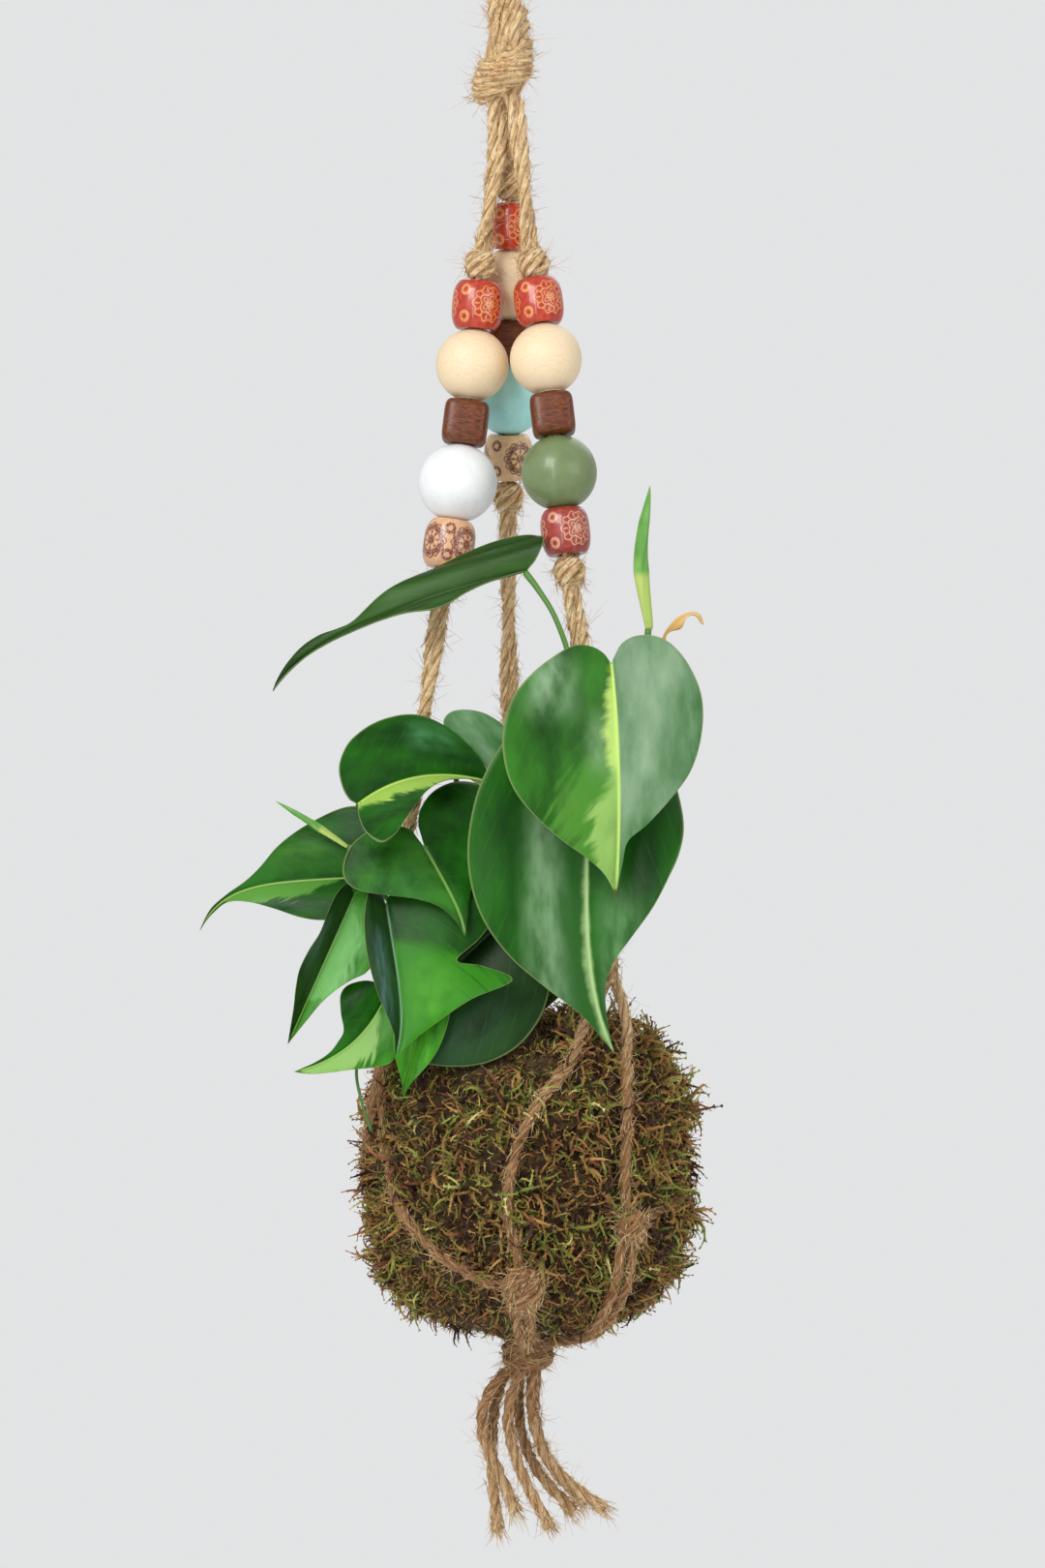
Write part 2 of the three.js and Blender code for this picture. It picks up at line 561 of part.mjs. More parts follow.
// Two leaves are still rolled up, and one old sheath has dried and curled.
function addRolledLeaf(name, base, tip, width) {
  const from = vector(base);
  const along = vector(tip).sub(from);
  const l = along.length();
  const w = width / 2;
  const spindle = turned([[0, 0], [w * 0.5, 0], [w, l * 0.4], [w * 0.7, l * 0.75], [0, l]], 8);
  add(name, spindle, LEAF, from).quaternion.copy(turnTo(along.normalize()));
}
addRolledLeaf("rolled_leaf", [46, -40, -268], [45.8, -41, -220.2], 5.2);
addRolledLeaf("thin_leaf", [-54.5, -41.5, -341], [-78.8, -38, -325.8], 2.8);
add(
  "dry_sheath",
  tube([[50, -40, -277], [54.4, -40, -269.4], [58.8, -40, -265.6], [62, -40, -264.6],
    [64.6, -40, -266.6]], 2.2, 8, 6),
  DRY,
);

// The stems and stalks grow from one crown in the mouth of the moss. A short vine leaves it
// towards the front left, and carries four of the leaves.
const CROWN = [4, -4, -402];
const VINE_END = [-29, -41, -372];
const VINE = [CROWN, [0, -14, -396], [-14, -28, -384], VINE_END];
const STALKS = {
  front_leaf: [CROWN, [9, -12, -396], [20, -32, -380], [26, -38.6, -350], [29, -38.6, -310],
    [31.6, -42, -290], [33.2, -50, -282.6], [33.4, -60.6, -281.4]],
  long_leaf: [CROWN, [7, -12, -396], [13, -27, -383], [18, -37, -350], [24, -41, -315],
    [26.4, -43.8, -304.6]],
  top_leaf: [CROWN, [6, -12, -394], [10, -24, -380], [13, -34, -350], [18.6, -36.6, -310],
    [20.4, -36, -282], [15, -34, -264], [9, -31, -254], [6, -30, -250.4]],
  rolled_leaf: [CROWN, [10, -11, -397], [20, -29, -386], [27, -40, -370], [34.6, -40.8, -350],
    [43, -40, -305], [46.2, -40, -269]],
  folded_leaf: [CROWN, [0, -14, -394], [-20, -33.4, -372], [-38, -37, -346], [-46, -42, -333],
    [-49.4, -50, -328.6], [-50.4, -55, -328]],
  pointed_leaf: [CROWN, [1, -14, -393], [-10, -29, -378], [-23, -39, -352],
    [-28.4, -46.6, -340.6]],
  pale_leaf: [CROWN, [2, -12, -392], [-5, -20, -370], [-16, -25, -330], [-21, -28, -305]],
  left_leaf: [CROWN, [-2, -12, -395], [-12, -21, -388], [-34, -30, -368], [-45, -32, -355],
    [-49.4, -33.8, -352]],
  thin_leaf: [[-34, -30, -368], [-40, -36, -356], [-46, -39.6, -346], [-53.6, -41, -341.4]],
  bright_leaf: [VINE_END, [-38, -41.6, -366], [-47, -40.8, -360], [-51.4, -42, -357.4]],
  grey_leaf: [VINE_END, [-36, -43, -366], [-41, -45.2, -361.4]],
  low_leaf: [VINE_END, [-33, -43, -380], [-40, -43.4, -389.4]],
  lime_leaf: [VINE_END, [-26.6, -44, -376], [-26, -45, -380.6]],
  dark_leaf: [CROWN, [4, -14, -394], [3, -26, -380], [-2.4, -38, -367.2]],
  tendril: [CROWN, [-2, -12, -397.4], [-22, -30, -395], [-44, -38, -402], [-51.4, -40.4, -414],
    [-50, -42, -426], [-46.5, -43, -436]],
};
const VINE_D = 3;
const TENDRIL_D = 1.4;
const STALK_SIDES = 5;
const crown = turned([[0, -407], [5.5, -407], [6, -403], [3.5, -397], [0, -396]], 10);
let plant = toManifold(crown.translate(CROWN[0], CROWN[1], 0));
plant = plant.add(toManifold(tube(VINE, VINE_D, 6, STALK_SIDES)));
for (const [name, points] of Object.entries(STALKS)) {
  const d = name === "tendril" ? TENDRIL_D : STALK_D;
  plant = plant.add(toManifold(tube(points, d, points.length + 3, STALK_SIDES)));
}
add("stems", toGeometry(plant), LEAF);

export default group;
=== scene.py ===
"""The looks of a hanging planter: knotted jute cords, wooden beads, a moss ball and a leafy plant.

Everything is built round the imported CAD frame. Routes and shapes are in millimetres, in the
frame's axes (+Z up, -Y towards the viewer), and become metres when a mesh is made.
"""

import json
import math

import bpy
import numpy as np
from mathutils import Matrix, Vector


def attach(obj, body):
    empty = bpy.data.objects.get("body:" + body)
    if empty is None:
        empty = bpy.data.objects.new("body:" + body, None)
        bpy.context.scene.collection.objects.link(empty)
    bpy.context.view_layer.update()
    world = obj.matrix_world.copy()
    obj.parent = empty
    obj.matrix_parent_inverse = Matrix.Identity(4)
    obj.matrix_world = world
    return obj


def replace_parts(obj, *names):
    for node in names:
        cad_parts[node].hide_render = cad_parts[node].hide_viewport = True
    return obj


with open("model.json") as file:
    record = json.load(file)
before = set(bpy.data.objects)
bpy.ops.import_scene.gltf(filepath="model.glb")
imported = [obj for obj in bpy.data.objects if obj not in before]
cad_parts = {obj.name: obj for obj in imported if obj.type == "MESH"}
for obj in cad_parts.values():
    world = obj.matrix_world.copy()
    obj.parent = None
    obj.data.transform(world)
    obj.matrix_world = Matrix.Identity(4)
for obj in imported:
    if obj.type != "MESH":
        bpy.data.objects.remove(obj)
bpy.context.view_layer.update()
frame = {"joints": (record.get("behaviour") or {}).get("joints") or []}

MM = 0.001
RANDOM = np.random.default_rng(328)

# ---- Camera, light and floor ----

CAMERA_DISTANCE = 1.5
VIEW_HEIGHT = 0.54  # what the picture takes in at the planter
VIEW_CENTRE = (0.004, -0.32)  # X and Z in the middle of the picture
FLOOR_Z = -0.86
FLOOR_RADIUS = 1.2
AMBIENT = 0.55
BACKDROP = 0.78


def make_camera():
    camera = bpy.data.objects.new("camera", bpy.data.cameras.new("camera"))
    camera.data.sensor_fit = "VERTICAL"
    camera.data.angle = 2 * math.atan(VIEW_HEIGHT / 2 / CAMERA_DISTANCE)
    camera.location = (VIEW_CENTRE[0], -CAMERA_DISTANCE, VIEW_CENTRE[1])
    camera.rotation_euler = (math.pi / 2, 0, 0)
    bpy.context.collection.objects.link(camera)
    bpy.context.scene.camera = camera


def area_light(name, place, size, power, tall=1.0, colour=(1, 1, 1)):
    light = bpy.data.lights.new(name, "AREA")
    light.shape = "RECTANGLE"
    light.size = size
    light.size_y = size * tall
    light.energy = power
    light.color = colour
    holder = bpy.data.objects.new(name, light)
    holder.location = place
    aim = Vector((0, 0, -0.33)) - Vector(place)
    holder.rotation_euler = aim.to_track_quat("-Z", "Y").to_euler()
    bpy.context.collection.objects.link(holder)


def rgb(code):
    """A colour from its #rrggbb screen value."""
    values = [int(code[i:i + 2], 16) / 255 for i in (1, 3, 5)]
    linear = [v / 12.92 if v <= 0.04045 else ((v + 0.055) / 1.055) ** 2.4 for v in values]
    return (*linear, 1)


# ---- Materials ----

class Shader:
    """A material whose nodes are added one call at a time."""

    def __init__(self, name, roughness, **inputs):
        self.material = bpy.data.materials.new(name)
        self.material.use_nodes = True
        self.tree = self.material.node_tree
        self.surface = self.tree.nodes["Principled BSDF"]
        self.surface.inputs["Roughness"].default_value = roughness
        for key, value in inputs.items():
            self.surface.inputs[key.replace("_", " ")].default_value = value

    def feed(self, socket, value):
        if isinstance(value, bpy.types.NodeSocket):
            self.tree.links.new(value, socket)
        else:
            socket.default_value = value

    def add(self, kind, settings=None, **inputs):
        node = self.tree.nodes.new(kind)
        for key, value in (settings or {}).items():
            setattr(node, key, value)
        for key, value in inputs.items():
            self.feed(node.inputs[key], value)
        return node

    def attribute(self, name):
        return self.add("ShaderNodeAttribute", {"attribute_name": name}).outputs["Vector"]

    def place(self):
        return self.add("ShaderNodeTexCoord").outputs["Object"]

    def split(self, vector):
        return self.add("ShaderNodeSeparateXYZ", Vector=vector).outputs

    def math(self, operation, *values):
        node = self.add("ShaderNodeMath", {"operation": operation})
        for socket, value in zip(node.inputs, values):
            self.feed(socket, value)
        return node.outputs[0]

    def times(self, *values):
        return self.math("MULTIPLY", *values)

    def plus(self, *values):
        return self.math("ADD", *values)

    def minus(self, *values):
        return self.math("SUBTRACT", *values)

    def times_plus(self, *values):
        """The first value times the second, plus the third."""
        return self.math("MULTIPLY_ADD", *values)

    def between(self, value, low, high):
        """0 below low and 1 above high, smoothly; the other way round if high is the lower."""
        node = self.add("ShaderNodeMapRange", {"interpolation_type": "SMOOTHSTEP"})
        flipped = high < low
        self.feed(node.inputs["Value"], value)
        node.inputs["From Min"].default_value = min(low, high)
        node.inputs["From Max"].default_value = max(low, high)
        node.inputs["To Min"].default_value = 1 if flipped else 0
        node.inputs["To Max"].default_value = 0 if flipped else 1
        return node.outputs["Result"]

    def noise(self, vector, scale, stretch=(1, 1, 1), detail=3, distortion=0):
        scaled = self.add("ShaderNodeVectorMath", {"operation": "MULTIPLY"})
        self.feed(scaled.inputs[0], vector)
        scaled.inputs[1].default_value = stretch
        node = self.add("ShaderNodeTexNoise", Vector=scaled.outputs[0], Scale=scale,
                        Detail=detail, Distortion=distortion)
        return node.outputs["Fac"]

    def mix(self, share, a, b):
        node = self.add("ShaderNodeMix", {"data_type": "RGBA"})
        self.feed(node.inputs[0], share)
        self.feed(node.inputs[6], a)
        self.feed(node.inputs[7], b)
        return node.outputs[2]

    def ramp(self, value, stops):
        node = self.add("ShaderNodeValToRGB", Fac=value)
        while len(node.color_ramp.elements) < len(stops):
            node.color_ramp.elements.new(0.5)
        for element, (place, colour) in zip(node.color_ramp.elements, stops):
            element.position = place
            element.color = rgb(colour)
        return node.outputs["Color"]

    def colour(self, value):
        self.feed(self.surface.inputs["Base Color"], value)

    def roughness(self, value):
        self.feed(self.surface.inputs["Roughness"], value)

    def bump(self, height, strength, distance):
        node = self.add("ShaderNodeBump", Height=height, Strength=strength, Distance=distance)
        self.feed(self.surface.inputs["Normal"], node.outputs["Normal"])


def jute_material():
    """Golden fibres along each ply, dark and pale ones among them, browner and darker lower down,
    most on the ball.
    """
    s = Shader("jute", 0.85)
    strand = s.attribute("strand")
    fine = s.noise(strand, 3600, (1, 1, 0.05), detail=3)
    wisps = s.noise(strand, 1300, (1, 1, 0.06), detail=2)
    fibres = s.times_plus(fine, 0.55, s.times(wisps, 0.45))
    patches = s.noise(strand, 160, (1, 1, 0.5), detail=2)
    dry = s.ramp(fibres, [(0.34, "#8f6436"), (0.43, "#d3a66c"), (0.52, "#f3d3a0"),
                          (0.64, "#fff1d2")])
    lower_tone = s.ramp(fibres, [(0.34, "#40260f"), (0.45, "#7d5230"), (0.56, "#a87a4c"),
                           (0.7, "#d3ab7a")])
    # Below the leaves the cords turn darker and browner by height, and most where they lie on the
    # moss ball.
    height = s.split(s.place())[2]
    on_ball = s.times(s.between(height, -0.38, -0.43), s.between(height, -0.58, -0.52))
    lower_share = s.times_plus(on_ball, 0.6, s.times(s.between(height, -0.36, -0.42), 0.33))
    colour = s.mix(lower_share, dry, lower_tone)
    colour = s.mix(s.times(s.between(patches, 0.5, 0.75), 0.4), colour, rgb("#a87c45"))
    # Painted shade: the grooves between the three plies are painted darker than their crowns, where
    # shadow falls.
    x, y, _ = s.split(strand)
    groove_shade = s.math("COSINE", s.times(s.math("ARCTAN2", y, x), 3))
    groove_shade = s.times(s.between(groove_shade, 0.45, 1.0), 0.55)
    s.colour(s.mix(groove_shade, colour, rgb("#7d5730")))
    s.bump(fibres, 1.0, 0.0009)
    return s.material


def grained_material(name, roughness, scale, stops, detail=3, along=None, relief=None):
    """One noise gives the colours and the relief, which is (strength, depth). On a stalk or a
    fibre the grain is drawn out lengthwise, and along is its frequency that way."""
    s = Shader(name, roughness)
    where = s.attribute("strand") if along else s.place()
    grain = s.noise(where, scale, (1, 1, along or 1), detail=detail)
    s.colour(s.ramp(grain, stops))
    if relief:
        s.bump(grain, *relief)
    return s.material


def hair_material():
    return grained_material("jute_hair", 0.7, 300, [(0.35, "#b98f5a"), (0.65, "#efd6a8")])


def wood_material(name, stops, roughness, coat=0.0):
    """Turned wood with fine grain along one direction and a few darker pores."""
    s = Shader(name, roughness, Coat_Weight=coat, Coat_Roughness=0.15)
    where = s.attribute("bead")
    grain = s.noise(where, 9, (0.35, 2.2, 2.2), detail=5, distortion=0.4)
    pores = s.noise(where, 60, (0.12, 1, 1), detail=2)
    tone = s.ramp(grain, stops)
    dark = s.mix(0.5, tone, rgb("#4a2c14"))
    s.colour(s.mix(s.times(s.between(pores, 0.62, 0.75), 0.5), tone, dark))
    s.bump(pores, 0.12, 0.0003)
    return s.material


def paint_material(name, colour, shade, roughness, coat):
    """Brushed paint over wood: faint brush marks, and a slightly worn, thinner coat in places."""
    s = Shader(name, roughness, Coat_Weight=coat, Coat_Roughness=0.12)
    where = s.attribute("bead")
    marks = s.noise(where, 14, (1, 1, 5), detail=4)
    cloud = s.noise(where, 3, detail=2)
    s.colour(s.mix(s.times(s.between(s.plus(marks, cloud), 0.95, 1.2), 0.5),
                   rgb(colour), rgb(shade)))
    s.roughness(s.times_plus(marks, 0.3, roughness - 0.15))
    s.bump(marks, 0.15, 0.0003)
    return s.material


def bead_cell(s, count):
    """Distance and angle round the middle of each of the cells that go round a bead, in radii."""
    x, y, z = s.split(s.attribute("bead"))
    turn = s.times(s.math("ARCTAN2", y, x), count / (2 * math.pi))
    local = s.times(s.minus(s.math("FRACT", turn), 0.5), 2 * math.pi / count)
    distance = s.math("SQRT", s.plus(s.times(local, local), s.times(z, z)))
    corner = s.minus(math.pi / count, s.math("ABSOLUTE", local))
    side = s.minus(s.math("ABSOLUTE", z), 0.52)
    outer = s.math("SQRT", s.plus(s.times(corner, corner), s.times(side, side)))
    return distance, s.math("ARCTAN2", z, local), outer


def ring(s, distance, radius, half_width):
    """1 on a ring of that radius, and 0 off it. The radius may be a socket."""
    off = s.math("ABSOLUTE", s.minus(distance, radius))
    return s.between(off, half_width * 1.25, half_width * 0.75)


def petals(s, angle, count, middle, swing):
    """A radius that swings in and out round the cell, as a flower's outline does."""
    wave = s.math("COSINE", s.times(angle, count))
    return s.times_plus(wave, swing, middle)


def print_material(name, ground, ink, cells, spoked):
    """A small round figure printed again and again round the bead, under clear varnish."""
    s = Shader(name, 0.35, Coat_Weight=0.7, Coat_Roughness=0.1)
    distance, angle, outer = bead_cell(s, cells)
    marks = [ring(s, distance, 0.1, 0.09), ring(s, outer, 0.17, 0.065)]
    if spoked:
        rays = s.between(s.math("COSINE", s.times(angle, 8)), 0.1, 0.5)
        band = s.times(s.between(distance, 0.2, 0.24), s.between(distance, 0.4, 0.36))
        marks += [s.times(rays, band), ring(s, distance, 0.5, 0.11),
                  ring(s, distance, petals(s, angle, 12, 0.66, 0.03), 0.03)]
    else:
        fan = s.between(s.math("COSINE", s.times(angle, 14)), 0.45, 0.8)
        band = s.times(s.between(distance, 0.4, 0.44), s.between(distance, 0.66, 0.6))
        marks += [s.times(fan, band),
                  ring(s, distance, petals(s, angle, 5, 0.4, 0.05), 0.035),
                  ring(s, distance, petals(s, angle, 5, 0.25, 0.08), 0.03),
                  ring(s, distance, petals(s, angle, 10, 0.66, 0.05), 0.03)]
    mask = marks[0]
    for mark in marks[1:]:
        mask = s.math("MAXIMUM", mask, mark)
    cloud = s.noise(s.attribute("bead"), 5, detail=4)
    wear = s.between(s.noise(s.attribute("bead"), 22, detail=3), 0.36, 0.5)
    base = s.ramp(cloud, [(0.35, ground[0]), (0.65, ground[1])])
    s.colour(s.mix(s.times(mask, wear), base, rgb(ink)))
    s.bump(mask, 0.1, 0.0002)
    return s.material


def moss_material():
    """Each shoot has its own tint. It is darkest at its foot, with painted shade there, and palest
    at its tip.
    """
    s = Shader("moss", 0.75)
    tint, along, _ = s.split(s.attribute("shoot"))
    area = s.noise(s.place(), 45, detail=2)
    value = s.plus(s.times_plus(tint, 0.84, -0.05), s.times(s.minus(area, 0.5), 1.2))
    fresh = s.ramp(value, [(0.0, "#3a1f0e"), (0.14, "#935a36"), (0.28, "#b98f4c"),
                           (0.44, "#8a7732"), (0.6, "#6b7628"), (0.74, "#97a23f"),
                           (0.92, "#ddcf86")])
    # Painted shade: the foot is mixed far towards near black, over the stem's own brown, for the
    # shade deep among the shoots.
    foot = s.mix(0.86, fresh, rgb("#110a04"))
    s.colour(s.mix(s.between(along, 0.02, 0.6), foot, fresh))
    return s.material


def moss_mat_material():
    stops = [(0.3, "#150c05"), (0.45, "#38220f"), (0.58, "#4a3a16"), (0.72, "#5c4c22")]
    return grained_material("moss_mat", 0.95, 420, stops, detail=5, relief=(0.9, 0.002))


def soil_material():
    stops = [(0.35, "#0e0906"), (0.55, "#2b1c11"), (0.75, "#4b3320")]
    return grained_material("soil", 1.0, 600, stops, detail=6, relief=(1.0, 0.002))


def stalk_material():
    stops = [(0.3, "#2f5a24"), (0.55, "#5a8a37"), (0.75, "#8db35a")]
    return grained_material("stalk", 0.4, 90, stops, along=0.15, relief=(0.2, 0.0004))


def dry_material():
    stops = [(0.3, "#a8742f"), (0.5, "#e0b56a"), (0.7, "#fbecc0")]
    return grained_material("dry_leaf", 0.6, 500, stops, detail=4, along=0.08,
                            relief=(0.5, 0.0005))


# Side veins of a leaf: how far and how steeply they sweep to the tip, and how close they are.
VEIN_SWEEP = 0.6
VEIN_CURVE = 1.7
VEIN_RATE = 52


def leaf_material(name, left, right, rib, streaks=(), sheen=(), brown_tip=False):
    """A heart leaf. left and right are (dark, light) greens of its halves. Each streak is
    (side, from, to, width, colour): pale stuff beside the midrib on the left (-1) or right.
    Each sheen is (across, half width, from, to, colour): a soft pale band of painted sheen along the
    leaf."""
    s = Shader(name, 0.33, IOR=1.26)
    u, w, q = s.split(s.attribute("heart"))
    wide = s.math("ABSOLUTE", w)
    heart = s.attribute("heart")
    cloud = s.noise(heart, 2.6, (1, 1, 0), detail=4)
    halves = [s.ramp(cloud, [(0.34, pair[0]), (0.66, pair[1])]) for pair in (left, right)]
    colour = s.mix(s.between(w, -0.01, 0.01), *halves)

    # Side veins leave the midrib and sweep towards the tip.
    sweep = s.minus(u, s.times(s.math("POWER", wide, VEIN_CURVE), VEIN_SWEEP))
    wave = s.math("COSINE", s.times(sweep, VEIN_RATE))
    vein = s.times(s.between(wave, 0.8, 1.0), s.between(wide, 0.02, 0.12))
    faint = s.times(vein, s.between(s.noise(heart, 5, detail=1), 0.35, 0.7))
    colour = s.mix(s.times(faint, 0.08), colour, rgb("#5f9147"))

    # Pale streaks follow the same sweep, with ragged edges.
    ragged = s.add("ShaderNodeCombineXYZ", X=sweep, Y=wide)
    uneven = s.noise(ragged.outputs[0], 5, (2.4, 0.5, 1), detail=4)
    edge = s.times(s.minus(uneven, 0.5), 2.2)
    fleck = s.noise(ragged.outputs[0], 9, (4, 0.5, 1), detail=3)
    for side, start, stop, width, pale in streaks:
        beside = s.times(w, side)
        rise = s.times(s.between(u, start - 0.06, start + 0.3),
                       s.between(u, stop + 0.04, stop - 0.12))
        reach = s.times(s.plus(edge, 1), width)
        torn = s.times_plus(s.minus(fleck, 0.5), min(0.13, 1.1 * width), beside)
        soft = min(0.02 + 0.25 * width, 0.06) + 0.4 * max(0, width - 0.4)
        inside = s.between(s.minus(torn, s.times(reach, rise)), soft, -soft)
        mask = s.times(inside, s.between(beside, -0.012, 0.0))
        mask = s.times(mask, s.between(rise, 0.0, 0.25))
        colour = s.mix(s.times(mask, 0.92), colour, rgb(pale))

    # Painted sheen: soft bands of colour that stand for the glossy leaf's reflections of the lights.
    for middle, half_width, start, stop, pale in sheen:
        band = s.between(s.math("ABSOLUTE", s.minus(w, middle)), half_width, 0)
        band = s.times(band, s.times(s.between(u, start, start + 0.2),
                                     s.between(u, stop, stop - 0.2)))
        haze = s.noise(heart, 6, (1, 1, 0), detail=5)
        colour = s.mix(s.times(band, s.between(haze, 0.2, 0.75)), colour, rgb(pale))

    line = s.times(s.between(wide, 0.022, 0.008), s.between(u, 1.0, 0.9))
    colour = s.mix(s.times(line, 0.75), colour, rgb(rib))
    colour = s.mix(s.times(s.between(q, 0.975, 0.995), 0.5), colour, rgb("#9fb070"))
    if brown_tip:
        colour = s.mix(s.between(u, 0.965, 0.985), colour, rgb("#7a4a1c"))
    s.colour(colour)
    pores = s.noise(s.place(), 2600, detail=2)
    s.roughness(s.times_plus(cloud, 0.22, 0.24))
    s.bump(s.times_plus(vein, -0.7, pores), 0.1, 0.0004)
    return s.material


def plain_material(name, colour):
    s = Shader(name, 0.9)
    s.colour(s.mix(s.noise(s.place(), 3), rgb(colour), rgb("#efefee")))
    return s.material


# ---- Meshes ----

def piece(name, points, faces, material, body, attributes=None, smooth=True):
    """A new object from points in metres. It rides on a body."""
    mesh = bpy.data.meshes.new(name)
    mesh.from_pydata(points, [], faces)
    mesh.update()
    for key, values in (attributes or {}).items():
        layer = mesh.attributes.new(key, "FLOAT_VECTOR", "POINT")
        layer.data.foreach_set("vector", np.asarray(values, np.float32).ravel())
    mesh.polygons.foreach_set("use_smooth", [smooth] * len(mesh.polygons))
    mesh.materials.append(material)
    made = bpy.data.objects.new(name, mesh)
    bpy.context.collection.objects.link(made)
    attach(made, body)
    return made


def unit(v):
    return v / np.linalg.norm(v, axis=-1, keepdims=True)


def path_through(points, spacing):
    """Evenly spaced points on the centripetal Catmull-Rom curve through the given ones."""
    given = [np.array(p, float) for p in points]
    chain = [2 * given[0] - given[1], *given, 2 * given[-1] - given[-2]]
    t = np.linspace(0, 1, 24, endpoint=False)[:, None]
    dense = []
    for p0, p1, p2, p3 in zip(chain, chain[1:], chain[2:], chain[3:]):
        before, here, after = (math.sqrt(np.linalg.norm(b - a))
                               for a, b in ((p0, p1), (p1, p2), (p2, p3)))
        out = here * ((p1 - p0) / before - (p2 - p0) / (before + here)) + (p2 - p1)
        into = here * ((p3 - p2) / after - (p3 - p1) / (here + after)) + (p2 - p1)
        dense.append((2 * t**3 - 3 * t**2 + 1) * p1 + (t**3 - 2 * t**2 + t) * out
                     + (3 * t**2 - 2 * t**3) * p2 + (t**3 - t**2) * into)
    line = np.concatenate([*dense, given[-1][None]])
    run = np.concatenate([[0], np.cumsum(np.linalg.norm(np.diff(line, axis=0), axis=1))])
    stations = np.linspace(0, run[-1], max(3, round(run[-1] / spacing) + 1))
    return np.stack([np.interp(stations, run, line[:, k]) for k in range(3)], axis=1)


def lengths(path):
    return np.concatenate([[0], np.cumsum(np.linalg.norm(np.diff(path, axis=0), axis=1))])


def frames_along(path):
    """Tangent, normal and side of a path, turning as little as they can."""
    tangent = unit(np.gradient(path, axis=0))
    first = np.array([0, 1, 0.0]) if abs(tangent[0][1]) < 0.8 else np.array([1.0, 0, 0])
    normal = np.empty_like(path)
    for i, direction in enumerate(tangent):
        first = unit(first - direction * np.dot(first, direction))
        normal[i] = first
    return tangent, normal, np.cross(tangent, normal)


def grid_faces(rows, columns, closed_columns=True):
    """Quads between rows of points, as a tube or as an open sheet."""
    last = columns if closed_columns else columns - 1
    i, j = np.meshgrid(np.arange(rows - 1), np.arange(last), indexing="ij")
    k = (j + 1) % columns
    quads = [i * columns + j, i * columns + k, (i + 1) * columns + k, (i + 1) * columns + j]
    return np.stack(quads, axis=-1).reshape(-1, 4)


def circle(count):
    """Even angles round a full turn."""
    return np.linspace(0, 2 * math.pi, count, endpoint=False)


def spokes(angle, normal, side):
    """Unit vectors away from a path, at angles given once for all its points or for each."""
    angle = np.atleast_2d(angle)[..., None]
    return np.cos(angle) * normal[:, None] + np.sin(angle) * side[:, None]


def capped_faces(rows, columns):
    """The faces of a tube with a flat cap on both ends."""
    first, last = range(columns), range((rows - 1) * columns, rows * columns)
    return [*grid_faces(rows, columns).tolist(), list(first)[::-1], list(last)]


class Batch:
    """Points, faces and one vector of attributes for each point, gathered into one mesh."""

    def __init__(self):
        self.points, self.faces, self.values, self.count = [], [], [], 0

    def add(self, points, faces, values):
        self.points.append(points)
        self.faces += [[v + self.count for v in face] for face in faces]
        self.values.append(values)
        self.count += len(points)

    def piece(self, name, material, body, slot, attribute):
        points = np.concatenate(self.points) * MM
        values = {attribute: np.concatenate(self.values)}
        return piece(name, points, self.faces, material, body, values)


PLY_PITCH = 24.0  # one turn of a cord's three plies
PLY_DEPTH = 0.45  # 1 is three round plies, and 0 a plain round cord
ROPE_STEP = 0.55
ROPE_SIDES = 21


def rope(batch, path, radius, phase=0.0, flare=1.0):
    """A three-ply cord along a path: three round plies twisted together, a little uneven."""
    _, normal, side = frames_along(path)
    run = lengths(path)
    around = circle(ROPE_SIDES)
    lobe = ((around * 3 / (2 * math.pi)) % 1 - 0.5) * 2 * math.pi / 3
    ply = radius / (1 + 2 / math.sqrt(3))
    off = radius - ply
    profile = off * np.cos(lobe) + np.sqrt(np.maximum(ply**2 - (off * np.sin(lobe))**2, 0))
    profile = PLY_DEPTH * profile + (1 - PLY_DEPTH) * radius
    wander = 1 + 0.05 * np.sin(run * 0.9 + phase) + 0.04 * np.sin(run * 2.3 + 2 * phase)
    wander = wander * (1 + (flare - 1) * np.clip((run - run[-1] + 6) / 6, 0, 1) ** 2)
    which = np.floor(around * 3 / (2 * math.pi))
    uneven = 1 + 0.06 * np.sin(run[:, None] * 1.7 + which[None] * 2.1 + phase)
    ridges = 1 + 0.035 * np.sin(around[None] * 7 + 1.3 * np.sin(run[:, None] * 0.37 + phase))
    size = profile[None] * wander[:, None] * uneven * ridges
    angle = around[None] + (2 * math.pi * run / PLY_PITCH + phase)[:, None]
    points = path[:, None] + size[..., None] * spokes(angle, normal, side)
    local = np.stack([np.cos(around)[None] * size, np.sin(around)[None] * size,
                      np.repeat(run[:, None], ROPE_SIDES, axis=1)], axis=-1)
    batch.add(points.reshape(-1, 3), capped_faces(len(path), ROPE_SIDES),
              local.reshape(-1, 3) * MM)


def tube(batch, path, radii, sides=12):
    """A plain round stalk with its own radius at each point, closed at both ends."""
    _, normal, side = frames_along(path)
    around = circle(sides)
    points = path[:, None] + np.asarray(radii)[:, None, None] * spokes(around, normal, side)
    around = np.broadcast_to(around, (len(path), sides))
    run = np.repeat(lengths(path)[:, None], sides, axis=1)
    local = np.stack([np.cos(around), np.sin(around), run], axis=-1)
    batch.add(points.reshape(-1, 3), capped_faces(len(path), sides), local.reshape(-1, 3) * MM)


THIRDS = np.array([0, 2.094, 4.189])  # three sides of a fibre or a stem


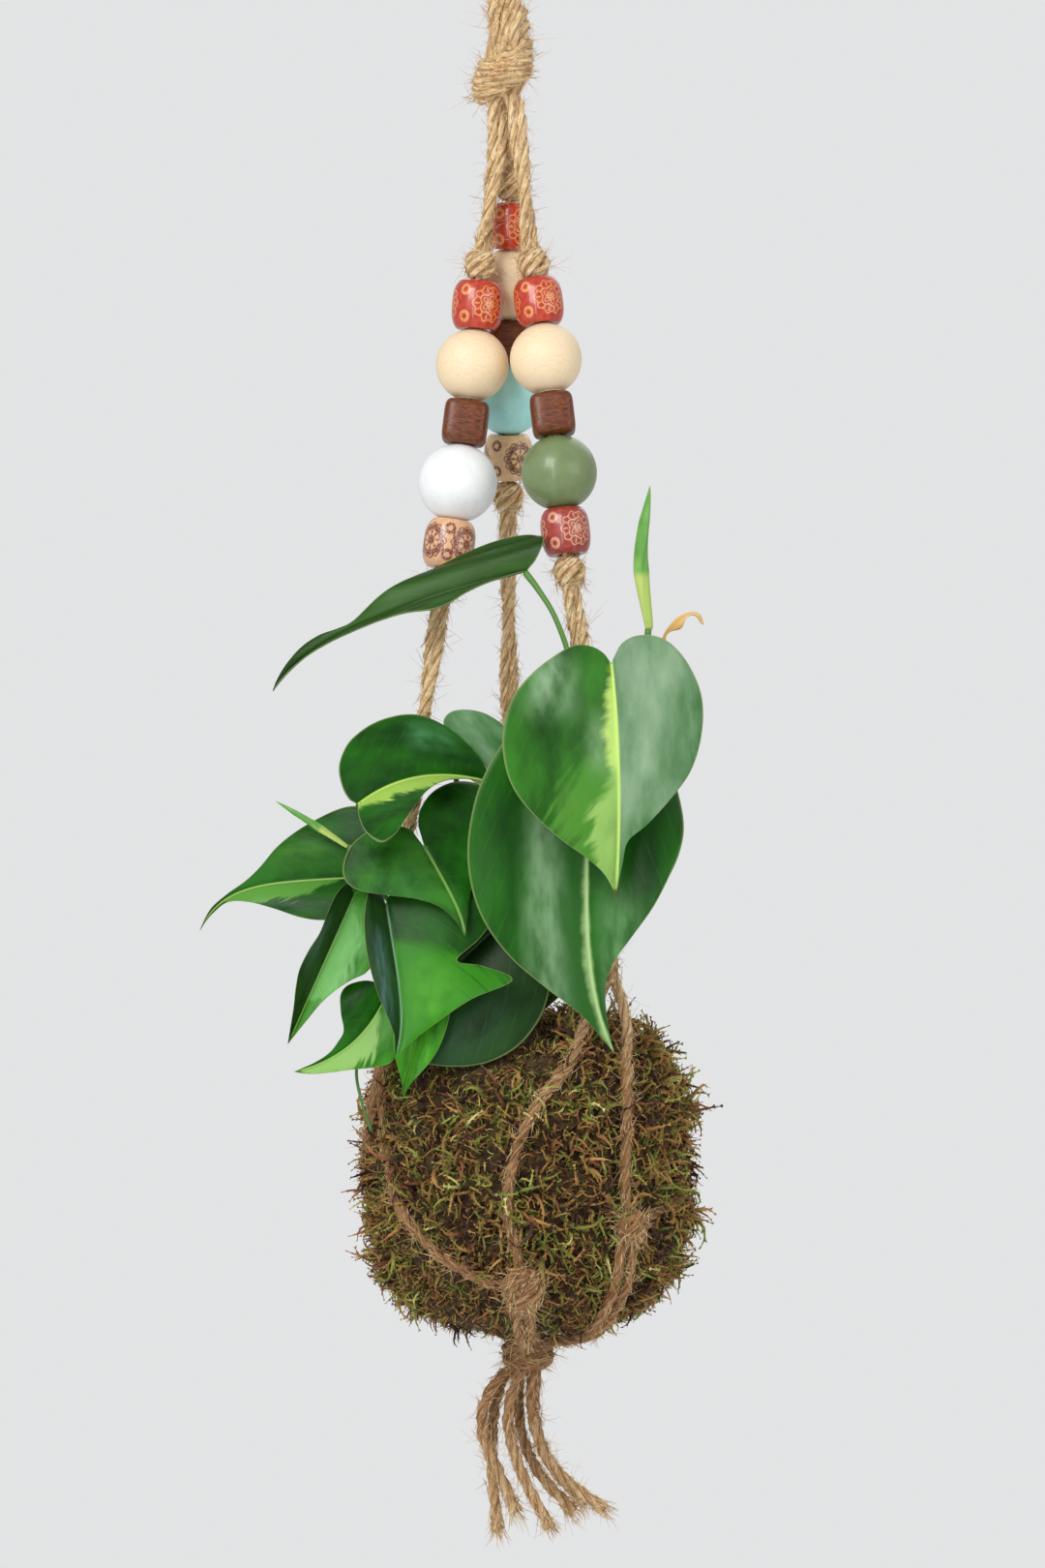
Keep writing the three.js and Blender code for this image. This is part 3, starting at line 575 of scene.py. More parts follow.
def hair(start, direction, length, curl, radius):
    """One loose fibre: three sides, four rings and a closed tip, bending as it goes."""
    t = np.linspace(0, 1, 5)[:, None]
    path = start + direction * t * length + curl * (t**2) * length
    tangent = unit(np.gradient(path, axis=0))
    normal = unit(np.cross(tangent, unit(np.array([0.3, 0.5, 0.8]))))
    side = np.cross(tangent, normal)
    size = radius * np.array([1, 1, 0.9, 0.7, 0.3])
    return (path[:, None] + size[:, None, None] * spokes(THIRDS, normal, side)).reshape(-1, 3)


HAIR_FACES = [*grid_faces(5, 3).tolist(), [2, 1, 0], [12, 13, 14]]


def add_hairs(batch, path, radius, per_mm, longest, thick=0.07):
    """Fibres of a cord: fine ones that stand off it, and thicker wisps that lie along it."""
    tangent, normal, side = frames_along(path)
    count = int(lengths(path)[-1] * per_mm)
    for index in RANDOM.integers(0, len(path), count):
        angle = RANDOM.uniform(0, 2 * math.pi)
        out = math.cos(angle) * normal[index] + math.sin(angle) * side[index]
        wisp = RANDOM.uniform() < 0.45
        lean = RANDOM.normal(0, 0.9) + (RANDOM.choice([-2, 2]) if wisp else 0)
        direction = unit(out * RANDOM.uniform(0.25, 1) + tangent[index] * lean)
        curl = RANDOM.normal(0, 0.12 if wisp else 0.45, 3)
        length = longest * RANDOM.uniform(0.25, 1) ** 1.6
        start = path[index] + out * radius * (0.95 if wisp else 0.85)
        width = thick * (2.0 if wisp else 1.0) * RANDOM.uniform(0.7, 1.3)
        points = hair(start, direction, length, curl, width)
        batch.add(points, HAIR_FACES, points * MM)


# ---- Cords ----

CORD_D = 4.2
STRAND_R = 1.9
PAIR_OFFSET = 1.4  # from the middle of an arm to each of its two cords
PAIR_TURN = 95.0  # the two cords of an arm wind once round each other in this length
BUNDLE_OFFSET = 2.2  # from the middle of the loop to each of its three cords
BUNDLE_TURN = 150.0
WRAP_R = 2.1  # a cord wrapped round a knot
BEAD_KNOT_R = 1.8  # a cord of the knots at the ends of a bead string
BEAD_CORD_R = 1.6  # a cord inside the beads
BEAD_CORD_OFFSET = 1.3
FRAY_HAIRS = 70
HAIRS_PER_MM = 4.0
HAIR_LENGTH = 6.0

KNOT_X = -2.4
GATHER = np.array([6.0, 0.0, -515.6])
KNOT_TURNS = 5
KNOT_BODY = [[-86, -3.4, 5.6], [-82.5, -4.4, 7.4], [-77, -3.2, 8], [-70, -1.2, 7.2],
             [-62, -0.8, 5.8], [-55, -0.8, 4.8], [-50, -1, 3.4]]  # height, middle and radius
KNOT_BANDS = [
    [(100, -62), (150, -55.5), (190, -54), (225, -58), (250, -63), (268, -69)],
    [(100, -66), (150, -59.5), (190, -58), (220, -61.5), (243, -66.5), (258, -73)],
    [(80, -62), (30, -55.5), (-10, -54), (-45, -58), (-68, -63), (-85, -69)],
    [(80, -66), (30, -60), (-10, -59), (-38, -62.5), (-60, -68), (-75, -74)],
]

LOOP = [[-2.5, -4.6, -55.4], [-2, -6.2, -46], [-0.5, -9.5, -26], [0, -8.6, -11], [0, 0, -4.2],
        [0, 8.6, -11], [-0.5, 9.5, -26], [-2, 6.2, -46], [-2.5, 4.6, -55.4]]

ARMS = {
    "left": {
        "upper": [[-5, -2.8, -86.8], [-4.6, -2.4, -99], [-6.8, -3.4, -117], [-9.6, -4.6, -136]],
        "string": [[-10.4, -4.8, -142], [-12.8, -5.6, -172], [-17, -7.8, -208],
                   [-23.1, -11.2, -252]],
        "lower": [[-23.9, -11.6, -258.1], [-26, -12.6, -272], [-29.6, -14.4, -297],
                  [-37, -18, -350], [-43.6, -21, -395], [-46, -22.4, -409]],
        "sizes": {"ball": 25, "painted": 27, "printed": 17.6, "cube": 15.4},
    },
    "right": {
        "upper": [[1.4, -4.6, -86.8], [2.8, -6.2, -100], [5, -7.4, -120], [6.6, -8.8, -136]],
        "string": [[7.8, -9.2, -142], [11.6, -13, -172], [15.8, -17.4, -208],
                   [20, -21.4, -247.9]],
        "lower": [[20.6, -22.2, -254], [23.4, -24.6, -272], [28, -29, -320],
                  [32, -33.4, -360], [34.2, -36, -383]],
        "sizes": {"ball": 24.6, "painted": 25.8, "printed": 16.8, "cube": 14.8},
    },
    "rear": {
        "upper": [[-2, 4.6, -86.8], [-1.2, 5.2, -95], [-0.6, 6, -103], [-0.2, 6.6, -107]],
        "string": [[0, 7.4, -113], [0, 12, -142], [-0.8, 18, -179], [-1, 24.8, -219.5]],
        "lower": [[-1, 26, -225.5], [-1, 29.4, -247], [-0.6, 37, -295], [1, 46, -350],
                  [3.4, 52.6, -395], [4, 54.4, -409]],
        "sizes": {"ball": 25, "painted": 25.6, "printed": 17, "cube": 14.6},
    },
}

BALL_CENTRE = np.array([6.0, 0.0, -453.5])
BALL_HALF = 54.5  # half the ball's height
MOSS_R = 54.5
MOSS_MOUTH_R = 17.0
BALL_POWER = 3  # 2 is round, and more is squarer
NET_OFF = 3.3  # from the moss to the middle of a cord of the net, before it is pressed in


def ball_radius(height, r, half):
    return r * (1 - min(abs(height / half), 1) ** BALL_POWER) ** (1 / BALL_POWER)


def on_moss(degrees, height, off):
    """A point that stands off the moss, at an angle round it and a height above its middle."""
    angle = math.radians(degrees)
    r = ball_radius(height, MOSS_R + off, BALL_HALF + off)
    return BALL_CENTRE + [r * math.sin(angle), -r * math.cos(angle), height]


def net(stations):
    return [on_moss(degrees, height, NET_OFF) for degrees, height in stations]


NET = {
    "left_net_cord_front": net([[-66, 18], [-60, 5], [-50, -9], [-34, -23], [-13, -33]]),
    "left_net_cord_back": net([[-74, 18], [-86, 5], [-103, -8], [-118, -17], [-131, -23]]),
    "right_net_cord_front": [[26.6, -33.4, -396],
                             *net([[15, 39], [5, 30], [-4, 12], [-7, -8], [-4, -23.6]])],
    "right_net_cord_back": [[38.8, -39.4, -400], *net([[37, 26], [35, 10], [35, -5.4]])],
    "rear_net_cord_left": net([[-172, 18], [-164, 2], [-156, -12], [-150, -21]]),
    "rear_net_cord_right": net([[170, 18], [154, 9], [132, 3], [110, 0], [86, -4], [64, -9],
                                [45, -12.4]]),
}
NET_KNOTS = {
    "front_net_knot": {"degrees": -2, "height": -34, "r": 7.2, "thick": 4, "meets": -10},
    "right_net_knot": {"degrees": 36, "height": -14, "r": 5.6, "thick": 3.8, "meets": 48},
    "back_net_knot": {"degrees": -140, "height": -26, "r": 6.6, "thick": 4, "meets": -140},
}

PRESSED = 1.3  # how deep a cord of the net is pushed in, where it shows
BURIED = 3.6  # and where the moss hides it
BARE_BELOW = -455.0  # the left front cord shows only below this height
MEETS_IN = {
    "left_net_cord_front": "front_net_knot",
    "right_net_cord_front": "front_net_knot",
    "right_net_cord_back": "right_net_knot",
    "rear_net_cord_right": "right_net_knot",
    "rear_net_cord_left": "back_net_knot",
    "left_net_cord_back": "back_net_knot",
}

TASSEL = [
    [[-1, -2.4, -522], [-5.5, -3, -526.3], [-9, -3.6, -532.6], [-10, -4, -540],
     [-8.2, -4.2, -548], [-3.4, -4.2, -558], [1.6, -4, -570]],
    [[-0.6, 2.2, -522], [-3.4, 2.4, -527], [-5.6, 2.6, -535], [-6.6, 2.6, -548],
     [-6.2, 2.4, -560], [-4.6, 2.2, -577]],
    [[3.2, -4.2, -522], [0.8, -4.8, -528], [-0.8, -5.2, -535], [-0.4, -5.4, -543],
     [4, -5.6, -557], [13.4, -6, -575]],
    [[3.6, 4.6, -522], [2.7, 5, -528], [2.5, 5.4, -536], [4, 6, -546],
     [9.6, 6.6, -558], [21.4, 7.6, -571.5]],
    [[7.4, -2.6, -522], [7, -2.6, -530], [8, -2.4, -540], [11.6, -2, -550.4],
     [19, -1.6, -559.4], [32.2, -1, -569.6]],
    [[8.5, 2.6, -522], [8, 3, -530], [8.4, 3.3, -540], [11.2, 3.5, -550],
     [16.4, 3.7, -558.6], [25.6, 4, -568.4]],
]


def beside(path, offset, turn, phase):
    """A path that winds round another one at a set distance."""
    _, normal, side = frames_along(path)
    angle = 2 * math.pi * lengths(path) / turn + phase
    return path + offset * (np.cos(angle)[:, None] * normal + np.sin(angle)[:, None] * side)


def knot_path(centre, axis, radius, height, turn=0.0, shape=None):
    """An overhand knot's line, a (2,3) torus knot about the axis. Its ends lie inside it."""
    t = np.linspace(math.pi / 3, 2 * math.pi + math.pi / 3, 110)
    out = 0.6 + 0.4 * np.cos(3 * t)
    up = height * np.sin(3 * t)
    r = radius * out if shape is None else shape(up) * out
    axis = unit(np.array(axis, float))
    across = unit(np.cross(axis, [0.0, 1.0, 0.0]))
    third = np.cross(axis, across)
    angle = 2 * t + turn
    line = (np.asarray(centre) + (r * np.cos(angle))[:, None] * across
            + (r * np.sin(angle))[:, None] * third + up[:, None] * axis)
    return path_through(line[::3], ROPE_STEP)


def on_knot(degrees, z):
    """A point on the body of the top knot. 0 degrees is to the right, and -90 to the front."""
    heights, middles, radii = np.array(KNOT_BODY).T
    middle, r = np.interp(z, heights, middles), np.interp(z, heights, radii)
    angle = math.radians(degrees)
    return [middle + r * math.cos(angle), 0.9 * r * math.sin(angle), z]


def sunk(path, name):
    """A cord of the net, pressed into the moss, and buried where the moss hides it."""
    around = unit((path - BALL_CENTRE) * [1, 1, 0.4])
    depth = np.full(len(path), PRESSED)
    if name == "rear_net_cord_right":
        depth[:] = BURIED
    if name == "left_net_cord_front":
        depth = np.interp(path[:, 2], [BARE_BELOW - 6, BARE_BELOW + 4], [PRESSED, BURIED])
    depth = depth * np.interp(path[:, 2], [-412, -402], [1, 0])
    return path - around * depth[:, None]


class Cordage:
    """Draws cords, and gathers the loose fibres of each body's cords."""

    def __init__(self, jute, hairs):
        self.jute, self.hairs = jute, hairs
        self.fuzz = {body: Batch() for body in ("loop", "knot", "hanger", "tassel")}

    def fuzzy(self, path, radius=STRAND_R, per_mm=HAIRS_PER_MM, longest=HAIR_LENGTH,
              body="hanger"):
        add_hairs(self.fuzz[body], path, radius, per_mm, longest)

    def piece(self, batch, name, body="hanger"):
        return batch.piece(name, self.jute, body, "jute", "strand")


def build_loop(cords):
    """Three cords folded over make the loop. Both their ends go into the top knot."""
    for index in range(3):
        phase = 2 * math.pi * index / 3
        path = beside(path_through(LOOP, ROPE_STEP), BUNDLE_OFFSET, BUNDLE_TURN, phase)
        batch = Batch()
        rope(batch, path, STRAND_R, phase)
        made = cords.piece(batch, f"loop_cord_{index + 1}", "loop")
        if index == 0:
            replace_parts(made, "hanging_loop")
        cords.fuzzy(path, body="loop")


def build_top_knot(cords):
    """Turns of cord slope round the knot's body, others come over its shoulders, and the cords
    of the loop run down between them into its front."""
    batch = Batch()
    t = np.linspace(0, 1, 16 * KNOT_TURNS)
    degrees = 100 + 360 * KNOT_TURNS * t
    spin = np.radians(degrees)
    slope = 3.6 * np.cos(spin) + 1.6 * np.sin(spin)
    lines = [[on_knot(d, z) for d, z in zip(degrees, -81.2 + 14 * t + slope)]]
    lines += [[on_knot(d, z) for d, z in band] for band in KNOT_BANDS]
    lines += [[[KNOT_X + x, -2.6, -48], [KNOT_X + x, -5.6, -56], [KNOT_X + 0.8 * x, -7.4, -62.5],
               [KNOT_X + 0.6 * x, -5, -69]] for x in (-3.2, 0.6, 4.2)]
    for index, line in enumerate(lines):
        path = path_through(line, ROPE_STEP)
        rope(batch, path, WRAP_R, index)
        cords.fuzzy(path, WRAP_R, 5, 6.5, "knot")
    core = path_through([[KNOT_X - 0.6, 0, -84], [KNOT_X, 0, -71], [KNOT_X + 1, 0, -55]], 2)
    tube(batch, core, np.interp(np.linspace(0, 1, len(core)), [0, 0.2, 0.6, 1], [5, 8, 6.4, 4]))
    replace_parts(cords.piece(batch, "top_knot_wraps", "knot"), "top_knot")


def build_upper_cords(cords, side, arm):
    """Two cords leave the top knot and end in the knot above the beads."""
    batch = Batch()
    middle = path_through([[KNOT_X, 0, -80], *arm["upper"], arm["string"][0]], ROPE_STEP)
    for phase in (0.3, 0.3 + math.pi):
        path = beside(middle, PAIR_OFFSET, PAIR_TURN, phase)
        rope(batch, path, STRAND_R, phase)
        cords.fuzzy(path)
    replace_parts(cords.piece(batch, f"{side}_upper_strands"), f"{side}_upper_cords")


def build_bead_cords(cords, side, arm):
    """The knots at both ends of a bead string, and the cords inside the beads."""
    batch = Batch()
    string = path_through(arm["string"], ROPE_STEP)
    ends = ((string[0], string[1] - string[0]), (string[-1], string[-1] - string[-2]))
    for place, way in ends:
        for turn in (0.0, 1.3):
            path = knot_path(place, way, 3.8, 3.6, turn)
            rope(batch, path, BEAD_KNOT_R, turn)
        cords.fuzzy(path, BEAD_KNOT_R, 8, 6.5)
    for phase in (0, math.pi):
        path = beside(string, BEAD_CORD_OFFSET, PAIR_TURN, phase)
        rope(batch, path, BEAD_CORD_R, phase)
    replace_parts(cords.piece(batch, f"{side}_bead_knots"), f"{side}_bead_cords")


def build_lower_cords(cords, side, arm):
    """Below the beads each cord runs down the arm, parts from its twin and joins the net."""
    middle = path_through([arm["string"][-1], *arm["lower"]], 6)
    names = [name for name in NET if name.startswith(side)]
    for name, phase in zip(names, (0.4, 0.4 + math.pi)):
        pair = beside(middle, PAIR_OFFSET, PAIR_TURN, phase)
        knot = NET_KNOTS[MEETS_IN[name]]
        into = on_moss(knot["degrees"], knot["height"], knot["thick"])
        path = sunk(path_through([*pair, *NET[name], into], ROPE_STEP), name)
        batch = Batch()
        rope(batch, path, STRAND_R, phase)
        made = cords.piece(batch, f"{name}_strand")
        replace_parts(made, name)
        if name == names[0]:
            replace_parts(made, f"{side}_lower_cords")
        cords.fuzzy(path)


def build_net_knot(cords, name, at):
    """Two cords of the net are knotted where they meet, and both run on to the bottom knot."""
    batch = Batch()
    centre = on_moss(at["degrees"], at["height"], at["thick"] + 0.9)
    squeeze = on_moss(at["degrees"], at["height"], 0) - BALL_CENTRE
    squeeze = unit(squeeze * [1, 1, 0])
    for turn in (0.0, 0.8):
        path = knot_path(centre, (0, 0, 1), at["r"] - 1.9, at["r"] - 2.2, turn)
        depth = (path - centre) @ squeeze
        path = path - depth[:, None] * squeeze * 0.45
        rope(batch, path, STRAND_R, turn)
    cords.fuzzy(path, 2.6, 8, 7)
    end = math.radians(at["meets"])
    for apart in (-2.6, 2.6):
        heights = [at["height"] - 3, (at["height"] - BALL_HALF) / 2, -50, -53.6]
        below = [on_moss(at["degrees"] + apart, height, 2.6) for height in heights]
        below.append(GATHER + [5 * math.sin(end), -5 * math.cos(end), 4])
        path = path_through(below, ROPE_STEP)
        rope(batch, path, STRAND_R, apart)
        cords.fuzzy(path)
    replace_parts(cords.piece(batch, f"{name}_strands"), name)


def build_bottom_knot(cords):
    """It draws the six cords of the net together under the ball."""
    batch = Batch()
    t = np.linspace(0, 1, 90)[:, None]
    spin = 2 * math.pi * 2.2 * t + 0.7
    turns = np.hstack([GATHER[0] + 7.2 * np.cos(spin), 7 * np.sin(spin), -519.5 + 8.5 * t])
    path = path_through(turns[::3], ROPE_STEP)
    rope(batch, path, WRAP_R, 0)
    cords.fuzzy(path, WRAP_R, 6, 7)
    for turn in (0.2, 1.2):
        path = knot_path(GATHER, (0, 0, 1), 7, 4.6, turn)
        rope(batch, path, 2.0, turn)
        cords.fuzzy(path, 2.0, 1.2, 5)
    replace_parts(cords.piece(batch, "bottom_knot_wraps"), "bottom_knot")


def frayed_end(cords, path, name):
    """Loose fibres at a cord's cut end."""
    fray = Batch()
    tangent, normal, across = frames_along(path)
    for _ in range(FRAY_HAIRS):
        start = -int(RANDOM.integers(2, 14))
        angle = RANDOM.uniform(0, 2 * math.pi)
        out = math.cos(angle) * normal[start] + math.sin(angle) * across[start]
        direction = unit(tangent[start] + out * RANDOM.uniform(0.05, 0.5))
        points = hair(path[start] + out * RANDOM.uniform(0.3, 2), direction,
                      RANDOM.uniform(3.5, 7.5), RANDOM.normal(0, 0.2, 3), 0.13)
        fray.add(points, HAIR_FACES, points * MM)
    return fray.piece(name, cords.hairs, "tassel", "jute", "strand")


def build_tassel(cords):
    """Six cord ends hang free below the bottom knot, each frayed at its cut end."""
    for index, points in enumerate(TASSEL):
        inside = [[GATHER[0] + 0.45 * (points[0][0] - GATHER[0]), points[0][1] * 0.6, -518]]
        path = path_through([*inside, *points], ROPE_STEP)
        batch = Batch()
        rope(batch, path, CORD_D / 2 - 0.1, index, flare=1.25)
        made = cords.piece(batch, f"tassel_strand_{index + 1}", "tassel")
        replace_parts(made, f"tassel_cord_{index + 1}")
        frayed = frayed_end(cords, path, f"tassel_fray_{index + 1}")
        cords.fuzzy(path, CORD_D / 2, body="tassel")


def build_cords(jute, hairs):
    """Every cord and knot, with the loose fibres of each body's cords in one piece."""
    cords = Cordage(jute, hairs)
    build_loop(cords)
    build_top_knot(cords)
    for side, arm in ARMS.items():
        build_upper_cords(cords, side, arm)
        build_bead_cords(cords, side, arm)
        build_lower_cords(cords, side, arm)
    for name, at in NET_KNOTS.items():
        build_net_knot(cords, name, at)
    build_bottom_knot(cords)
    build_tassel(cords)
    for body, batch in cords.fuzz.items():
        batch.piece(f"{body}_hairs", hairs, body, "jute", "strand")


# ---- Beads ----

BEAD_HOLE_R = 3.6
BEAD_SIDES = 64


def bead(name, node, kind, size, height, material):
    """A turned ball or barrel, or a rounded cube, bored along its own axis."""
    joint = next(j for j in frame["joints"] if j["child"] == node)
    axis = Vector(joint["axis"]).normalized()
    turn = np.array(Vector((0, 0, 1)).rotation_difference(axis).to_matrix())
    half = height / 2
    r = size / 2
    outline = []
    for z in -half * np.cos(np.linspace(0, math.pi, 41)):
        share = abs(z) / half
        if kind == "ball":
            radius = math.sqrt(max(r * r - z * z, 0))
        elif kind == "barrel":
            radius = r * (1 - (share / 1.2) ** 3) ** (1 / 3)
        else:
            radius = r * (1 - min(share, 0.9999) ** 6) ** (1 / 6)
        outline.append((max(radius, BEAD_HOLE_R + 0.5), z))
    rim = BEAD_HOLE_R
    inner = [(rim + 0.3, half), (rim, half - 0.5), (rim, 0), (rim, 0.5 - half), (rim + 0.3, -half)]
    loop = outline + inner
    around = circle(BEAD_SIDES)
    points = []
    for index, (radius, z) in enumerate(loop):
        square = 1.0
        if kind == "cube" and index < len(outline):
            edge = (np.abs(np.cos(around)) ** 5 + np.abs(np.sin(around)) ** 5) ** (-1 / 5)
            square = 1 + (edge - 1) * min(1, (radius - rim) / (0.35 * r))
        points.append(np.stack([radius * square * np.cos(around),
                                radius * square * np.sin(around),
                                np.full(BEAD_SIDES, z)], axis=-1))
    local = np.array(points)
    rows = len(loop)
    faces = grid_faces(rows, BEAD_SIDES).tolist()
    faces += [[(rows - 1) * BEAD_SIDES + j, (rows - 1) * BEAD_SIDES + (j + 1) % BEAD_SIDES,
               (j + 1) % BEAD_SIDES, j] for j in range(BEAD_SIDES)]
    local = local.reshape(-1, 3)
    place = np.array(joint["pos_m"]) + local @ turn.T * MM
    made = piece(name, place, faces, material, node, {"bead": local / r})
    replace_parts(made, node)


def build_beads():
    natural = wood_material("natural_wood", [(0.3, "#ecd0a6"), (0.5, "#f6dfb9"),
                                             (0.72, "#efd9b8")], 0.5)
    dark = wood_material("dark_wood", [(0.3, "#2c1101"), (0.5, "#652c02"), (0.72, "#96490a")],
                         0.4, coat=0.12)
    red = print_material("red_print", ("#a8210c", "#c83a18"), "#e39a5c", 3, False)
    paints = {
        "left": ("white_paint", paint_material("white_paint", "#f4f6f6", "#e3e8ea", 0.42, 0.1)),
        "right": ("sage_paint", paint_material("sage_paint", "#76895a", "#687c4d", 0.38, 0.35)),
        "rear": ("turquoise_paint",
                 paint_material("turquoise_paint", "#b4f2ee", "#9ce2de", 0.45, 0.1)),
    }
    prints = {
        "left": print_material("cream_print", ("#d6a27a", "#e6b488"), "#6d2013", 4, True),
        "right": print_material("rose_print", ("#922a20", "#ab3b2d"), "#dba283", 3, False),
        "rear": print_material("tan_print", ("#dcb07c", "#e6c193"), "#63301c", 3, True),
    }
    for side, arm in ARMS.items():
        sizes = arm["sizes"]
        slot, paint = paints[side]
        barrel = 0.93 * sizes["printed"]
        rows = [
            ("red", "barrel", sizes["printed"], barrel, red, "red_print"),
            ("natural", "ball", sizes["ball"], 0.955 * sizes["ball"], natural, "natural_wood"),
            ("cube", "cube", sizes["cube"], sizes["cube"], dark, "dark_wood"),
            ("painted", "ball", sizes["painted"], 0.95 * sizes["painted"], paint, slot),
            ("printed", "barrel", sizes["printed"], barrel, prints[side], "cream_print"),
        ]
        for word, kind, size, height, material, slot_name in rows:
            node = f"{side}_{word}_bead"
            bead(f"{node}_turned", node, kind, size, height, material)


# ---- Moss ball ----

BARE_IN_FRONT_OF = -30.0  # and nowhere behind this depth
NECK_R = 13.0  # no moss grows where the cords are gathered under the ball
NECK_TOP = -46.0
CORD_CLEAR = 3.2  # half of the shoots nearer than this to a bare cord are left out
CLUMPS = 110
CLUMP_R = 6.5
SHOOTS = 21000
CAP_SHARE = 0.36  # of them grow on the flatter top and bottom of the ball
ROOT_DEPTH = 1.6  # how deep in the ball a shoot starts
SHOOT_PIECES = 9
SHOOT_TEMPLATES = 28


def shoot_template():
    """One feathery shoot, a unit long: a curling stem with small pointed leaves on both sides."""
    steps = 5
    t = np.linspace(0, 1, steps + 1)
    bend = RANDOM.uniform(0.6, 3.4)
    twist = RANDOM.normal(0, 1.5)
    lean = RANDOM.uniform(-0.4, 0.6) + bend * t
    heading = twist * t
    way = np.stack([np.sin(lean) * np.cos(heading), np.sin(lean) * np.sin(heading),
                    np.cos(lean)], axis=-1)
    stem = np.concatenate([[np.zeros(3)], np.cumsum(way[:-1], axis=0)]) / steps
    tangent, normal, side = frames_along(stem)
    size = 0.07 * (1.03 - t) ** 0.6
    rings = stem[:, None] + size[:, None, None] * spokes(THIRDS, normal, side)
    points = [rings.reshape(-1, 3)]
    values = [np.repeat(t, 3)]
    quads = grid_faces(steps + 1, 3)
    faces = [quads[:, [0, 1, 2]], quads[:, [0, 2, 3]], np.array([[2, 1, 0]]),
             np.array([[0, 1, 2]]) + 3 * steps]
    count = 3 * (steps + 1)
    for k in range(1, steps + 1):
        for hand in (-1, 1):
            reach = RANDOM.uniform(0.11, 0.2) * (1.15 - 0.6 * t[k])
            turn = RANDOM.normal(0, 0.7)
            out = hand * (math.cos(turn) * normal[k] + math.sin(turn) * side[k])
            tip = stem[k] + reach * unit(out + tangent[k] * RANDOM.uniform(0.7, 1.6))
            foot = 0.055 * tangent[k]
            thick = 0.02 * np.cross(tangent[k], out)
            points.append(np.array([stem[k] - foot, stem[k] + foot, stem[k] + thick, tip]))
            values.append(np.array([t[k], t[k], t[k], min(1.0, t[k] + 0.25)]))
            faces.append(np.array([[0, 2, 1], [0, 1, 3], [1, 2, 3], [2, 0, 3]]) + count)
            count += 4
    return np.concatenate(points), np.concatenate(faces), np.concatenate(values)


def moss_normals(points):
    """The way the ball's surface faces at points given from its middle."""
    flat = np.linalg.norm(points[:, :2], axis=1)
    rise = np.sign(points[:, 2]) * np.abs(points[:, 2] / BALL_HALF) ** (BALL_POWER - 1)
    spread = (flat / MOSS_R) ** (BALL_POWER - 1)
    out = points[:, :2] / np.maximum(flat, 1e-6)[:, None]
    return unit(np.hstack([out * spread[:, None], rise[:, None]]))


def build_moss_mat(mat):
    """A rough mat, with an opening on top for the stems."""
    rows, columns = 90, 180
    batch = Batch()
    up = -np.cos(np.linspace(0, math.pi, rows))
    points = []
    for share in up:
        height = share * (BALL_HALF - 0.6)
        r = ball_radius(height, MOSS_R - 1, BALL_HALF - 0.5)
        if share > 0 and r < MOSS_MOUTH_R:
            break
        angle = circle(columns)
        ripple = (0.8 * np.sin(angle * 9 + height * 0.35) + 0.6 * np.sin(angle * 17 - height * 0.6)
                  + 0.5 * np.sin(angle * 31 + height * 1.1)) * min(1, r / 20)
        points.append(np.stack([(r + ripple) * np.cos(angle), (r + ripple) * np.sin(angle),
                                np.full(columns, height) + 0.3 * ripple], axis=-1))
    count = len(points)
    for back in range(count - 1, -1, -1):
        points.append(points[back] * [0.9, 0.9, 0.92] - [0, 0, 0.4])
    points = np.array(points)
    faces = grid_faces(len(points), columns).tolist()
    points = points.reshape(-1, 3) + BALL_CENTRE
    batch.add(points, faces, np.zeros((len(points), 3)))
    made = batch.piece("moss_mat", mat, "hanger", "moss", "shoot")
    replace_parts(made, "moss_cover")


def shoot_roots(net_lines):
    """Where shoots grow: evenly over the ball, and fewer under the cords of the net."""
    angle = RANDOM.uniform(0, 2 * math.pi, SHOOTS * 2)
    height = RANDOM.uniform(-1, 1, SHOOTS * 2)
    cap = RANDOM.uniform(0, 1, SHOOTS * 2) < CAP_SHARE
    disc = MOSS_R * np.sqrt(RANDOM.uniform(0, 1, SHOOTS * 2)) * 0.98
    disc_height = BALL_HALF * (1 - (disc / MOSS_R) ** BALL_POWER) ** (1 / BALL_POWER)
    z = np.where(cap, np.sign(height) * disc_height, height * BALL_HALF * 0.9)
    r = MOSS_R * (1 - np.minimum(np.abs(z / BALL_HALF), 1) ** BALL_POWER) ** (1 / BALL_POWER)
    r = np.where(cap, disc, r)
    base = np.stack([r * np.cos(angle), r * np.sin(angle), z], axis=-1)
    open_top = (z > 0) & (r < MOSS_MOUTH_R)
    bare = net_lines[(net_lines[:, 2] < BARE_BELOW) | (net_lines[:, 0] > BALL_CENTRE[0] - 12)]
    bare = bare[(bare[:, 1] < BARE_IN_FRONT_OF)]
    near = np.min(np.linalg.norm((base + BALL_CENTRE)[:, None] - bare[None], axis=2), axis=1)
    spared = (near > CORD_CLEAR) | (RANDOM.uniform(0, 1, len(base)) < 0.5)
    neck = (z < NECK_TOP) & (r < NECK_R)
    return base[~open_top & ~neck & spared][:SHOOTS]


